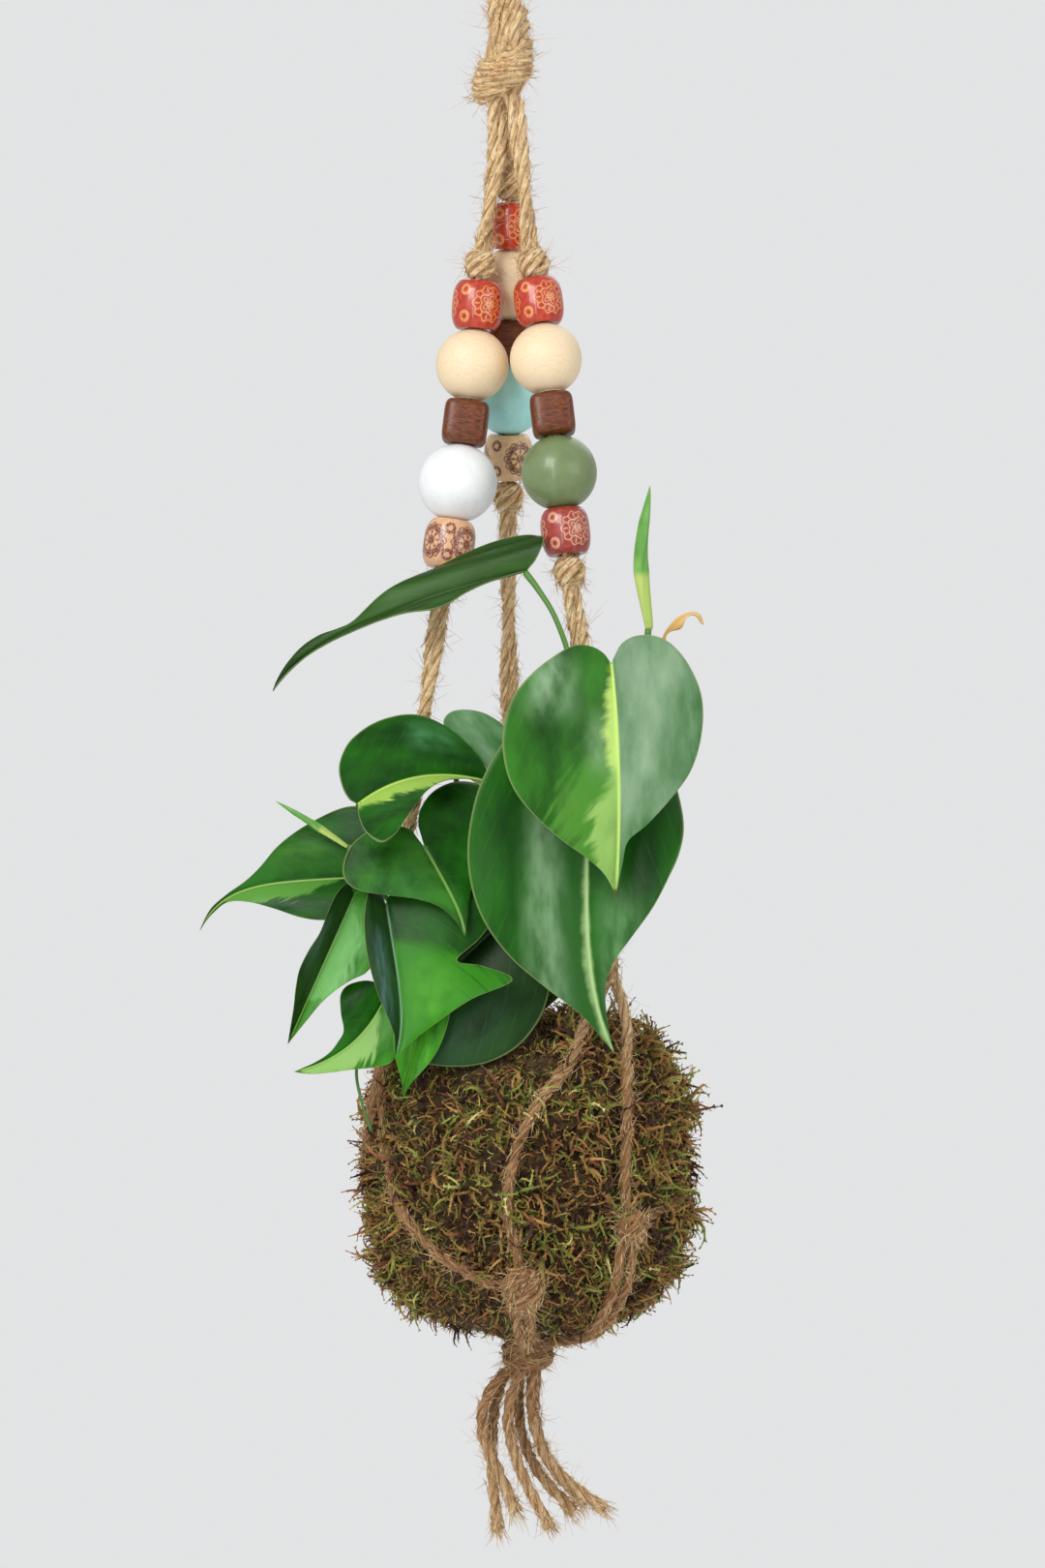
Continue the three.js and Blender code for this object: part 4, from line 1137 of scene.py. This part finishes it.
def shoot_turns(base, out):
    """Each shoot leans its own way, but in a clump they lean together. Returns the turn of each,
    and how far it is pulled to its clump's middle."""
    count = len(base)
    loose = unit(RANDOM.normal(0, 1, (count, 3)))
    up_way = unit(0.5 * out + loose)
    inward = np.minimum(np.sum(up_way * out, axis=1) - 0.25, 0)[:, None]
    up_way = unit(up_way - inward * out)
    heart = base[RANDOM.integers(0, count, CLUMPS)]
    gap = np.linalg.norm(base[:, None] - heart[None], axis=2)
    clump = np.argmin(gap, axis=1)
    pull = np.clip(1 - np.min(gap, axis=1) / CLUMP_R, 0, 1)[:, None]
    together = unit(RANDOM.normal(0, 1, (CLUMPS, 3)))[clump] + 0.7 * out
    up_way = unit(up_way * (1 - 0.6 * pull) + 0.6 * pull * together)
    cross = unit(np.cross(up_way, unit(RANDOM.normal(0, 1, (count, 3)))))
    third = np.cross(up_way, cross)
    return np.stack([cross, third, up_way], axis=1), pull


def build_moss(moss, mat, net_lines):
    """The mat, and the shoots on it. In a clump they stand a little proud and grow longer."""
    build_moss_mat(mat)
    base = shoot_roots(net_lines)
    out = moss_normals(base)
    count = len(base)
    turn, pull = shoot_turns(base, out)
    # The long ones are few. Below the front leaves they stay clear of them.
    length = 4.7 + 7.5 * RANDOM.uniform(0, 1, count) ** 4
    length = length * (1 + 0.6 * pull[:, 0])
    placed = base + BALL_CENTRE
    under = (placed[:, 2] > -422) & (placed[:, 1] < -26) & (placed[:, 0] < 16)
    length = np.where(under, np.minimum(0.5 * length, 4.5), length)
    # Underneath they are short, pressed flat by the net.
    length = length * np.interp(placed[:, 2], [-505, -470], [0.5, 1])
    tint = np.clip(RANDOM.normal(0.42, 0.32, count), 0, 1)
    template = RANDOM.integers(0, SHOOT_TEMPLATES, count)
    sector = ((np.arctan2(base[:, 1], base[:, 0]) / (2 * math.pi)) % 1 * SHOOT_PIECES).astype(int)
    shapes = [shoot_template() for _ in range(SHOOT_TEMPLATES)]
    root = base - out * (ROOT_DEPTH - ROOT_DEPTH * pull) + BALL_CENTRE
    for part in range(SHOOT_PIECES):
        all_points, all_faces, all_values, start = [], [], [], 0
        for kind, (points, faces, along) in enumerate(shapes):
            chosen = np.flatnonzero((sector == part) & (template == kind))
            if not len(chosen):
                continue
            placed = np.einsum("pk,nkj->npj", points, turn[chosen])
            placed = placed * length[chosen][:, None, None] + root[chosen][:, None]
            steps = start + len(points) * np.arange(len(chosen))
            all_points.append(placed.reshape(-1, 3))
            all_faces.append((faces[None] + steps[:, None, None]).reshape(-1, 3))
            value = np.zeros((len(chosen), len(points), 3))
            value[..., 0] = tint[chosen][:, None]
            value[..., 1] = along[None]
            all_values.append(value.reshape(-1, 3))
            start += len(points) * len(chosen)
        piece(f"moss_shoots_{part + 1}", np.concatenate(all_points) * MM,
              np.concatenate(all_faces), moss, "hanger",
              {"shoot": np.concatenate(all_values)}, smooth=False)


def build_soil(material):
    """A crumbly ball, which shows only in the opening of the moss."""
    batch = Batch()
    rows, columns = 60, 96
    points = []
    for share in -np.cos(np.linspace(0.02, math.pi - 0.02, rows)):
        height = share * 46.5
        angle = circle(columns)
        lumps = 0.5 * np.sin(angle * 13 + height * 1.7) + 0.4 * np.sin(angle * 29 - height * 2.3)
        r = ball_radius(height, 46.4, 46.6) + lumps * 0.6
        points.append(np.stack([r * np.cos(angle), r * np.sin(angle),
                                np.full(columns, height) + 0.5 * lumps], axis=-1))
    points = np.array(points).reshape(-1, 3) + BALL_CENTRE
    batch.add(points, capped_faces(rows, columns), np.zeros((len(points), 3)))
    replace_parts(batch.piece("soil_ball_crumbs", material, "hanger", "soil", "strand"), "soil_ball")


# ---- Plant ----

HEART = [[0, 0], [-0.07, 0.07], [-0.105, 0.22], [-0.09, 0.44], [0, 0.7], [0.13, 0.9],
    [0.27, 0.99], [0.4, 0.99], [0.54, 0.89], [0.67, 0.68], [0.78, 0.4], [0.87, 0.16],
    [0.94, 0.06], [1, 0]]
FRONT = [
    [[0, 0], [-0.05, 0.07], [-0.08, 0.19], [-0.08, 0.35], [-0.03, 0.55], [0.04, 0.75],
     [0.14, 0.94], [0.27, 1.05], [0.4, 1.06], [0.53, 0.98], [0.65, 0.79], [0.76, 0.53],
     [0.84, 0.29], [0.91, 0.12], [1, 0]],
    [[0, 0], [-0.04, 0.05], [-0.09, 0.14], [-0.12, 0.29], [-0.12, 0.49], [-0.08, 0.68],
     [0.02, 0.85], [0.16, 0.95], [0.32, 0.92], [0.47, 0.79], [0.59, 0.56], [0.7, 0.3],
     [0.77, 0.1], [0.87, 0.05], [1, 0]],
]
NARROWED = [[0, 0], [-0.03, 0.03], [-0.06, 0.11], [-0.07, 0.28], [-0.03, 0.49],
    [0.05, 0.68], [0.17, 0.85], [0.3, 0.95], [0.39, 0.92], [0.47, 0.81], [0.56, 0.65],
    [0.65, 0.42], [0.72, 0.23], [0.79, 0.12], [0.88, 0.07], [1, 0]]
TOP = [
    [[0, 0], [-0.05, 0.16], [-0.1, 0.49], [-0.11, 0.84], [-0.08, 1.07], [0, 1.17],
     [0.12, 1.19], [0.25, 1.07], [0.38, 0.77], [0.51, 0.42], [0.63, 0.13], [0.7, 0.14],
     [0.77, 0.25], [0.84, 0.27], [0.92, 0.17], [1, 0]],
    [[0, 0], [0.03, 0.08], [0.12, 0.24], [0.21, 0.53], [0.3, 0.82], [0.37, 0.85], [0.46, 0.62],
     [0.57, 0.38], [0.69, 0.27], [0.78, 0.22], [0.89, 0.15], [1, 0]],
]
FOLDED = [
    [[0, 0], [-0.04, 0.11], [-0.08, 0.3], [-0.1, 0.52], [-0.08, 0.76], [-0.03, 0.91],
     [0.07, 0.92], [0.18, 0.79], [0.31, 0.61], [0.46, 0.36], [0.62, 0.18], [0.8, 0.07], [1, 0]],
    [[0, 0], [-0.06, 0.11], [-0.09, 0.31], [-0.07, 0.53], [0.02, 0.68], [0.15, 0.76],
     [0.33, 0.82], [0.54, 0.81], [0.71, 0.75], [0.85, 0.6], [0.95, 0.35], [1, 0]],
]
POINTED = [
    [[0, 0], [-0.11, 0.02], [-0.23, 0.05], [-0.33, 0.2], [-0.37, 0.45], [-0.3, 0.74],
     [-0.14, 0.94], [0.03, 1], [0.18, 0.9], [0.33, 0.64], [0.47, 0.38], [0.62, 0.19],
     [0.8, 0.08], [1, 0]],
    [[0, 0], [-0.11, 0.03], [-0.26, 0.08], [-0.41, 0.21], [-0.54, 0.45], [-0.58, 0.75],
     [-0.51, 1.01], [-0.36, 1.15], [-0.13, 1.12], [0.1, 0.96], [0.27, 0.7], [0.43, 0.43],
     [0.61, 0.22], [0.82, 0.08], [1, 0]],
]
LEFT = [
    [[0, 0], [-0.06, 0.12], [-0.15, 0.38], [-0.2, 0.68], [-0.18, 0.91], [-0.11, 1.04],
     [0, 1.02], [0.13, 0.9], [0.27, 0.72], [0.41, 0.5], [0.54, 0.26], [0.66, 0.11],
     [0.79, 0.05], [0.9, 0.04], [1, 0]],
    [[0, 0], [-0.02, 0.22], [0, 0.54], [0.07, 0.81], [0.17, 0.97], [0.28, 1.02], [0.4, 0.9],
     [0.53, 0.62], [0.67, 0.31], [0.79, 0.09], [0.89, 0.06], [1, 0]],
]
BRIGHT = [
    [[0, 0], [-0.04, 0.35], [0.04, 0.6], [0.18, 0.62], [0.31, 0.6], [0.43, 0.72], [0.56, 0.74],
     [0.67, 0.58], [0.78, 0.36], [0.89, 0.18], [1, 0]],
    [[0, 0], [-0.06, 0.09], [0, 0.41], [0.14, 0.69], [0.31, 0.89], [0.41, 0.86], [0.5, 0.63],
     [0.6, 0.42], [0.7, 0.27], [0.82, 0.16], [0.92, 0.07], [1, 0]],
]
GREY = [
    HEART,
    [[0, 0], [-0.07, 0.08], [-0.12, 0.3], [-0.15, 0.6], [-0.08, 0.88], [0.08, 0.97],
     [0.26, 0.78], [0.4, 0.54], [0.45, 0.76], [0.55, 1], [0.66, 0.62], [0.78, 0.34],
     [0.9, 0.12], [1, 0]],
]
LOW = [
    [[0, 0], [-0.03, 0.23], [0.04, 0.64], [0.17, 0.98], [0.28, 1], [0.38, 0.7], [0.46, 0.34],
     [0.56, 0.22], [0.67, 0.12], [0.82, 0.06], [0.93, 0.03], [1, 0]],
    [[0, 0], [-0.04, 0.33], [0.03, 0.64], [0.17, 0.86], [0.32, 0.93], [0.45, 0.75],
     [0.61, 0.49], [0.75, 0.33], [0.88, 0.2], [0.96, 0.09], [1, 0]],
]
LEAF_ROWS = 90
LEAF_COLUMNS = 22  # on each side of the midrib
LEAF_HALF_THICKNESS = 0.28

LEAVES = {
    "front_leaf": {"base": [33.4, -62, -280.4], "tip": [34.8, -64, -356.6],
                   "face": [0.08, -1, 0.05],
                   "half": [36.5, 30], "shape": FRONT, "bow": 5, "side": 1.2},
    "long_leaf": {"base": [26.6, -45.4, -303], "tip": [34.6, -52, -409.5],
                  "face": [0, -1, 0.04],
                  "half": [40.5, 34], "shape": [HEART, NARROWED], "fold": [10, 8],
                  "bow": 2, "drip": -6},
    "top_leaf": {"base": [5, -29.5, -248], "tip": [-80.3, -32, -288.3],
                 "face": [-0.25, -0.75, 0.6],
                 "half": [13, 11], "shape": TOP, "fold": [4, 12], "bow": 3,
                 "drip": -9.6, "hook": 2},
    "folded_leaf": {"base": [-50.2, -57, -326.4], "tip": [-6, -34, -319.5],
                    "face": [0, -0.87, 0.5],
                    "half": [24, 28], "shape": FOLDED, "fold": [22, 8], "bow": 1, "side": 6},
    "pale_leaf": {"base": [-21.5, -29.6, -302.4], "tip": [5, -30.6, -326.5],
                  "face": [0, -1, 0.1],
                  "half": [7, 14.4], "fold": [6, 6]},
    "pointed_leaf": {"base": [-28.6, -49, -341], "tip": [-15, -57, -370.8],
                     "face": [0.1, -1, 0.15],
                     "half": [29, 30], "shape": POINTED, "fold": [2, -22], "bow": 1,
                     "drip": 1.5},
    "left_leaf": {"base": [-50.7, -35.4, -351.4], "tip": [-104.8, -33, -369.3],
                  "face": [0.1, -1, 0.3],
                  "half": [24, 15], "shape": LEFT, "fold": [4, 10], "drip": -7.8, "hook": -2},
    "bright_leaf": {"base": [-52.3, -43.6, -357], "tip": [-74.2, -50, -406.6],
                    "face": [0, -1, 0.2],
                    "half": [12, 17], "shape": BRIGHT, "fold": [50, 6]},
    "grey_leaf": {"base": [-41.7, -47, -360], "tip": [-38.5, -60, -410.8],
                  "face": [0, -1, 0.15],
                  "half": [13, 38], "shape": GREY, "fold": [48, 2], "drip": 3},
    "lime_leaf": {"base": [-26, -47, -384], "tip": [-36, -53, -425], "face": [0, -1, 0.2],
                  "half": [9, 9], "fold": [12, 12]},
    "low_leaf": {"base": [-41.9, -44, -391.2], "tip": [-72, -50, -415.7], "face": [0, -1, 0.3],
                 "half": [14, 15.5], "shape": LOW, "fold": [6, 3], "side": 5},
    "dark_leaf": {"base": [-3, -40, -366], "tip": [-53.5, -43, -413], "face": [0, -1, 0.1],
                  "half": [7, 34.5], "fold": [4, 4]},
}
DEEP = ("#0f3d09", "#246a13")
MID = ("#16400f", "#377a22")
# GREY paints the front leaf's right half with a grey-green reflection of the lights and the bright
# room, over its green.
GREY = ("#587f55", "#8fad8a")
OLIVE = ("#1b3a0e", "#33591c")
DUSK = ("#12300b", "#264c1c")
FRESH = ("#226c0a", "#4a981c")
YELLOW = "#cdee7a"
LOOKS = {
    "front_leaf": (MID, GREY, YELLOW, [(-1, 0.3, 1.0, 0.55, "#4d8f2e"),
                                       (-1, 0.0, 0.5, 0.12, YELLOW),
                                       (-1, 0.42, 1.0, 0.26, "#9dc968")]),
    "long_leaf": (DEEP, DEEP, "#b4d08f", [(-1, 0.1, 1.0, 0.3, "#27601d"),
                                          (-1, 0.3, 1.0, 0.04, "#9cc07c"),
                                          (1, 0.3, 1.0, 0.02, "#9cc07c")]),
    "top_leaf": (OLIVE, OLIVE, "#4c7a3a", []),
    "folded_leaf": (DEEP, DEEP, YELLOW, [(-1, -0.1, 0.95, 0.3, "#abd35c")]),
    # The pale leaf's right half is its green, with some painted grey sheen in the lighter tone.
    "pale_leaf": (("#a9cf7d", "#c8e39a"), ("#467a41", "#7da47a"), "#dbe8ae", []),
    "pointed_leaf": (MID, DEEP, "#86b356", []),
    "left_leaf": (DEEP, DEEP, "#a9c96a", [(1, 0.1, 0.8, 0.4, "#5d9a3c")]),
    "bright_leaf": (DUSK, FRESH, "#a9d070", [(1, 0.0, 0.7, 0.5, "#69ad55")]),
    "grey_leaf": (DUSK, DEEP, "#7fa88a", [(1, 0.22, 1.1, 0.95, "#2f8208")]),
    "lime_leaf": (FRESH, FRESH, "#8fca5a", []),
    "low_leaf": (DEEP, FRESH, "#a9cf6c", [(1, 0.1, 0.95, 0.5, "#8fbf62")]),
    "dark_leaf": (DUSK, DUSK, "#4f7a4c", []),
}

# Painted sheen of each leaf: bands of colour for its reflections of the lights and the bright room.
# The front leaf's two last bands are darker: they take its painted grey reflection back to green at
# its outer edge and towards its tip.
SHEENS = {
    "long_leaf": [(-0.36, 0.26, 0.1, 0.95, "#83a87c"), (0.3, 0.35, 0.4, 1.05, "#5f9257")],
    "front_leaf": [(-0.6, 0.4, -0.15, 0.3, "#8aab84"), (-0.18, 0.18, 0.15, 0.55, "#7fa673"),
                   (-0.45, 0.2, 0.45, 0.85, "#5c9038"), (0.9, 0.4, 0.0, 0.9, "#336b33"),
                   (0.35, 0.7, 0.55, 1.1, "#22651f")],
    "top_leaf": [(-0.3, 0.4, 0.1, 0.8, "#3b6625"), (0.6, 0.2, 0.2, 0.7, "#4f7a3c")],
    "folded_leaf": [(-0.6, 0.4, 0.3, 0.9, "#2f8020"), (0.5, 0.3, 0.4, 0.9, "#4b8a55")],
    "pointed_leaf": [(-0.5, 0.45, 0.0, 0.7, "#3b7a35"), (0.5, 0.45, 0.0, 0.7, "#2d7424")],
    "left_leaf": [(-0.5, 0.45, 0.0, 0.7, "#3c7a22")],
    "bright_leaf": [(0.5, 0.5, 0.1, 0.9, "#7cc26e"), (-0.5, 0.3, 0.1, 0.6, "#45604a")],
    "grey_leaf": [(-0.5, 0.45, 0.1, 0.9, "#52776a"), (0.3, 0.4, 0.3, 0.9, "#4a9f1c")],
    "dark_leaf": [(0.5, 0.5, 0.2, 0.9, "#2d5733")],
    "lime_leaf": [(0.4, 0.5, 0.0, 0.8, "#55b32a")],
}


def smooth_outline(shares, points):
    """The smooth outline through the points, as along and across."""
    points = np.array(points)
    place = shares * (len(points) - 1)
    i = np.minimum(place.astype(int), len(points) - 2)
    t = (place - i)[:, None]
    p0, p1 = points[np.maximum(i - 1, 0)], points[i]
    p2, p3 = points[i + 1], points[np.minimum(i + 2, len(points) - 1)]
    p0 = np.where((i == 0)[:, None], p1, p0)
    p3 = np.where((i == len(points) - 2)[:, None], p2, p3)
    v0, v1 = (p2 - p0) / 2, (p3 - p1) / 2
    return ((2 * p1 - 2 * p2 + v0 + v1) * t**3 + (-3 * p1 + 3 * p2 - 2 * v0 - v1) * t**2
            + v0 * t + p1)


def build_leaf(name, base, tip, face, half, shape=(HEART, HEART), fold=(8, 8), bow=0,
               side=0, drip=0, hook=0):
    """The CAD leaf's form, finely divided, with a sunk midrib, veins and soft waves."""
    start = np.array(base, float)
    along = np.array(tip, float) - start
    length = np.linalg.norm(along)
    along = along / length
    up = unit(np.array(face, float) - along * np.dot(face, along))
    across = np.cross(up, along)
    shares = np.linspace(0, 1, LEAF_ROWS + 1)
    columns = np.linspace(-1, 1, 2 * LEAF_COLUMNS + 1)[None]
    right = columns > 0
    q = np.abs(columns)
    foot = (shares ** 1.4)[:, None]
    left_edge, right_edge = [smooth_outline(shares, points) for points in shape]
    edge = [np.where(right, right_edge[:, k:k + 1], left_edge[:, k:k + 1]) for k in (0, 1)]
    u = foot + (edge[0] - foot) * q
    wide = np.maximum(edge[1], 0) * q
    v = wide * np.where(right, half[1], half[0])
    turn = np.radians(np.where(right, fold[1], fold[0]))
    sign = np.where(right, 1, -1)
    rise = bow * 4 * u * (1 - u) + hook * 2.6 * (u**3 - u)
    rib = -0.55 * np.exp(-((wide / 0.03) ** 2))
    sweep = (u - VEIN_SWEEP * wide**VEIN_CURVE) * VEIN_RATE
    vein = -0.07 * np.maximum(np.cos(sweep), 0) ** 6 * np.clip(wide * 6, 0, 1)
    phase = float(RANDOM.uniform(0, 6))
    wave = 0.012 * length * q**3 * np.sin(u * 11 + phase + sign) * np.clip(wide * 2, 0, 1)
    puff = 0.035 * length * np.sin(math.pi * np.clip(wide, 0, 1)) * (1 - 0.6 * u)
    swing = side * 4 * u * (1 - u) + drip * 1.87 * (u - u**5)
    lateral = sign * v * np.cos(turn) + swing
    lift = v * np.sin(turn) + rise + rib + vein + wave + puff
    middle = (start + (length * u)[..., None] * along + lateral[..., None] * across
              + lift[..., None] * up)
    rows, cols = middle.shape[:2]
    thick = LEAF_HALF_THICKNESS * up
    points = np.concatenate([(middle + thick).reshape(-1, 3), (middle - thick).reshape(-1, 3)])
    values = np.stack([u, wide * sign, np.broadcast_to(q, u.shape)], axis=-1).reshape(-1, 3)
    faces = grid_faces(rows, cols, closed_columns=False)
    under = faces[:, ::-1] + rows * cols
    rim = []
    for i in range(rows - 1):
        a, b = i * cols, (i + 1) * cols
        rim.append([a, b, b + rows * cols, a + rows * cols])
        a, b = a + cols - 1, b + cols - 1
        rim.append([b, a, a + rows * cols, b + rows * cols])
    faces = np.concatenate([faces, under, rim])
    left, other, rib_colour, streaks = LOOKS[name]
    material = leaf_material(f"{name}_skin", left, other, rib_colour, streaks,
                             SHEENS.get(name, ()), brown_tip=name == "front_leaf")
    made = piece(f"{name}_blade", points * MM, faces, material, "hanger",
                 {"heart": np.concatenate([values, values])})
    weld = made.modifiers.new("weld", "WELD")
    weld.merge_threshold = 0.00002
    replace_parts(made, name)


CROWN = [4, -4, -402]
VINE_END = [-29, -41, -372]
STALKS = {
    "front_leaf": [CROWN, [9, -12, -396], [20, -32, -380], [26, -38.6, -350],
                   [29, -38.6, -310], [31.6, -42, -290], [33.2, -50, -282.6],
                   [33.4, -61.4, -281]],
    "long_leaf": [CROWN, [7, -12, -396], [13, -27, -383], [18, -37, -350], [24, -41, -315],
                  [26.6, -45, -303.4]],
    "top_leaf": [CROWN, [6, -12, -394], [10, -24, -380], [13, -34, -350],
                 [18.6, -36.6, -310], [20.4, -36, -282], [15, -34, -264], [9, -31, -254],
                 [5, -29.5, -248.6]],
    "rolled_leaf": [CROWN, [10, -11, -397], [20, -29, -386], [27, -40, -370],
                    [34.6, -40.8, -350], [43, -40, -305], [46.2, -40, -268]],
    "folded_leaf": [CROWN, [0, -14, -394], [-20, -33.4, -372], [-38, -37, -346],
                    [-46, -42, -333], [-49.4, -50, -328.6], [-50.2, -56.6, -327]],
    "pointed_leaf": [CROWN, [1, -14, -393], [-10, -29, -378], [-23, -39, -352],
                     [-28.7, -48.6, -341]],
    "pale_leaf": [CROWN, [2, -12, -392], [-5, -20, -370], [-16, -25, -330],
                  [-21.4, -29.4, -303]],
    "left_leaf": [CROWN, [-2, -12, -395], [-12, -21, -388], [-34, -30, -368],
                  [-45, -32, -355], [-50.4, -35, -351.6]],
    "thin_leaf": [[-34, -30, -368], [-40, -36, -356], [-46, -39.6, -346],
                  [-54.4, -41.4, -341]],
    "bright_leaf": [VINE_END, [-38, -41.6, -366], [-47, -40.8, -360], [-52, -43.2, -357]],
    "grey_leaf": [VINE_END, [-36, -43, -366], [-41.6, -46.6, -360.4]],
    "low_leaf": [VINE_END, [-33, -43, -380], [-41.6, -43.8, -390.8]],
    "lime_leaf": [VINE_END, [-26.6, -44, -376], [-26, -46.6, -383.4]],
    "dark_leaf": [CROWN, [4, -14, -394], [3, -26, -380], [-2.6, -39.4, -366.6]],
    "tendril": [CROWN, [-2, -12, -397.4], [-22, -30, -395], [-44, -38, -402],
                [-51.4, -40.4, -414], [-50, -42, -426], [-46.5, -43, -436]],
}


def build_stems(stalk):
    """The crown, the short vine and every stalk, each swelling where it leaves and arrives."""
    batch = Batch()
    vine = path_through([CROWN, [0, -14, -396], [-14, -28, -384], VINE_END], 1.2)
    knuckles = 1.6 + 0.35 * np.maximum(np.cos(lengths(vine) * 0.45), 0) ** 6
    tube(batch, vine, knuckles, 16)
    crown = path_through([[4, -4, -408], [4, -4, -403], [4, -4, -398]], 1)
    tube(batch, crown, 5.4 - 2.6 * np.linspace(0, 1, len(crown)) ** 2, 20)
    for name, points in STALKS.items():
        path = path_through(points, 1.2)
        share = np.linspace(0, 1, len(path))
        thin = 0.55 if name == "tendril" else 1.0
        radii = thin * (1.15 - 0.25 * share + 0.25 * np.exp(-((1 - share) / 0.05) ** 2))
        tube(batch, path, radii, 14)
    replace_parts(batch.piece("stems_and_stalks", stalk, "hanger", "stalk", "strand"), "stems")


def build_rolled_leaf(name, base, tip, width, bow, material):
    """A young leaf still rolled up: a slim spindle with one edge winding round it."""
    rows, columns = 70, 28
    path = path_through([base, (np.array(base) + tip) / 2 + [bow, 0.3, 0], tip],
                        np.linalg.norm(np.subtract(tip, base)) / rows)
    _, normal, side = frames_along(path)
    share = np.linspace(0, 1, len(path))
    r = width / 2 * np.interp(share, [0, 0.05, 0.4, 0.75, 0.95, 1],
                              [0.45, 0.55, 1, 0.7, 0.2, 0.04])
    around = circle(columns)
    step = np.broadcast_to(around[None] / (2 * math.pi), (len(path), columns))
    angle = around[None] + 2.6 + 2.2 * share[:, None]
    r = r[:, None] * (0.84 + 0.26 * step)
    points = path[:, None] + r[..., None] * spokes(angle, normal, side)
    faces = capped_faces(len(path), columns)
    share = np.broadcast_to(share[:, None], step.shape)
    values = np.stack([share, step - 0.5, np.zeros_like(step)], axis=-1).reshape(-1, 3)
    made = piece(f"{name}_spindle", points.reshape(-1, 3) * MM, faces, material, "hanger",
                 {"heart": values})
    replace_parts(made, name)


def build_sheath(material):
    """An old sheath, dry and curled into a narrow gutter."""
    path = path_through([[50, -40, -277], [54.4, -40, -269.4], [58.8, -40, -265.6],
                         [62, -40, -264.6], [64.6, -40, -266.6]], 0.5)
    _, normal, side = frames_along(path)
    share = np.linspace(0, 1, len(path))
    width = np.interp(share, [0, 0.15, 0.6, 0.85, 1], [0.6, 1.9, 2.9, 2.3, 0.3])
    curl = np.linspace(-1.9, 1.9, 15)
    outer, inner = [], []
    for index in range(len(path)):
        bend = curl * (0.75 + 0.25 * math.sin(share[index] * 14))
        for shell, layer in ((width[index], outer), (max(width[index] - 0.25, 0.02), inner)):
            spoke = (np.cos(bend)[:, None] * side[index] + np.sin(bend)[:, None] * normal[index])
            layer.append(path[index] + shell * spoke)
    ringed = np.concatenate([np.array(outer), np.array(inner)[:, ::-1]], axis=1)
    rows, columns = ringed.shape[:2]
    faces = grid_faces(rows, columns).tolist()
    for row in (0, rows - 1):
        for j in range(columns // 2 - 1):
            a, b = row * columns + j, row * columns + columns - 1 - j
            cap = [a, a + 1, b - 1, b]
            faces.append(cap if row else cap[::-1])
    batch = Batch()
    run = np.repeat(lengths(path)[:, None], columns, axis=1)
    angle = np.broadcast_to(np.linspace(0, 6, columns)[None], run.shape)
    values = np.stack([np.cos(angle), np.sin(angle), run], axis=-1).reshape(-1, 3) * MM
    batch.add(ringed.reshape(-1, 3), faces, values)
    made = batch.piece("dry_sheath_curl", material, "hanger", "dry_leaf", "strand")
    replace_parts(made, "dry_sheath")


def build_floor():
    columns = 96
    around = circle(columns)
    rim = np.stack([FLOOR_RADIUS * np.cos(around), FLOOR_RADIUS * np.sin(around),
                    np.full(columns, FLOOR_Z)], axis=-1)
    mesh = bpy.data.meshes.new("floor")
    mesh.from_pydata(rim, [], [list(range(columns))])
    mesh.materials.append(plain_material("floor", "#e6e6e6"))
    floor = bpy.data.objects.new("floor", mesh)
    bpy.context.collection.objects.link(floor)


def light_studio():
    """Soft light all round. The backdrop looks brighter than the light it gives."""
    world = bpy.data.worlds.new("studio")
    world.use_nodes = True
    tree = world.node_tree
    soft = tree.nodes["Background"]
    soft.inputs["Color"].default_value = (0.98, 0.985, 1.0, 1)
    soft.inputs["Strength"].default_value = AMBIENT
    seen = tree.nodes.new("ShaderNodeBackground")
    seen.inputs["Color"].default_value = (0.985, 0.99, 1.0, 1)
    seen.inputs["Strength"].default_value = BACKDROP
    path = tree.nodes.new("ShaderNodeLightPath")
    choose = tree.nodes.new("ShaderNodeMixShader")
    tree.links.new(path.outputs["Is Camera Ray"], choose.inputs[0])
    tree.links.new(soft.outputs[0], choose.inputs[1])
    tree.links.new(seen.outputs[0], choose.inputs[2])
    tree.links.new(choose.outputs[0], tree.nodes["World Output"].inputs["Surface"])
    bpy.context.scene.world = world
    bpy.context.scene.view_settings.view_transform = "Standard"
    area_light("key", (-0.75, -1.25, 0.55), 0.8, 14.5)
    area_light("strip", (-0.42, -1.3, -0.25), 0.16, 2.2, tall=6)
    area_light("fill", (1.2, -1.1, 0.1), 1.0, 5)
    area_light("rim", (0.4, 1.1, 0.9), 1.4, 5)


make_camera()
JUTE = jute_material()
build_cords(JUTE, hair_material())
build_beads()
NET_LINES = np.concatenate([path_through(points, 3) for points in NET.values()])
build_moss(moss_material(), moss_mat_material(), NET_LINES)
build_soil(soil_material())
for leaf_name, shape in LEAVES.items():
    build_leaf(leaf_name, **shape)
build_stems(stalk_material())
SPEAR = leaf_material("rolled_skin", ("#4f8f3a", "#7fb85a"), ("#4f8f3a", "#8fc468"), "#a9cf7a",
                      [(1, -0.4, 0.4, 1.5, "#c3d676"), (-1, -0.4, 0.4, 1.5, "#b4cf6c")])
build_rolled_leaf("rolled_leaf", [46.6, -40, -268], [46.7, -41, -220.2], 5.6, -2.8, SPEAR)
build_rolled_leaf("thin_leaf", [-54.5, -41.5, -341], [-78.8, -38, -325.8], 2.8, 0.6, SPEAR)
build_sheath(dry_material())
build_floor()
light_studio()
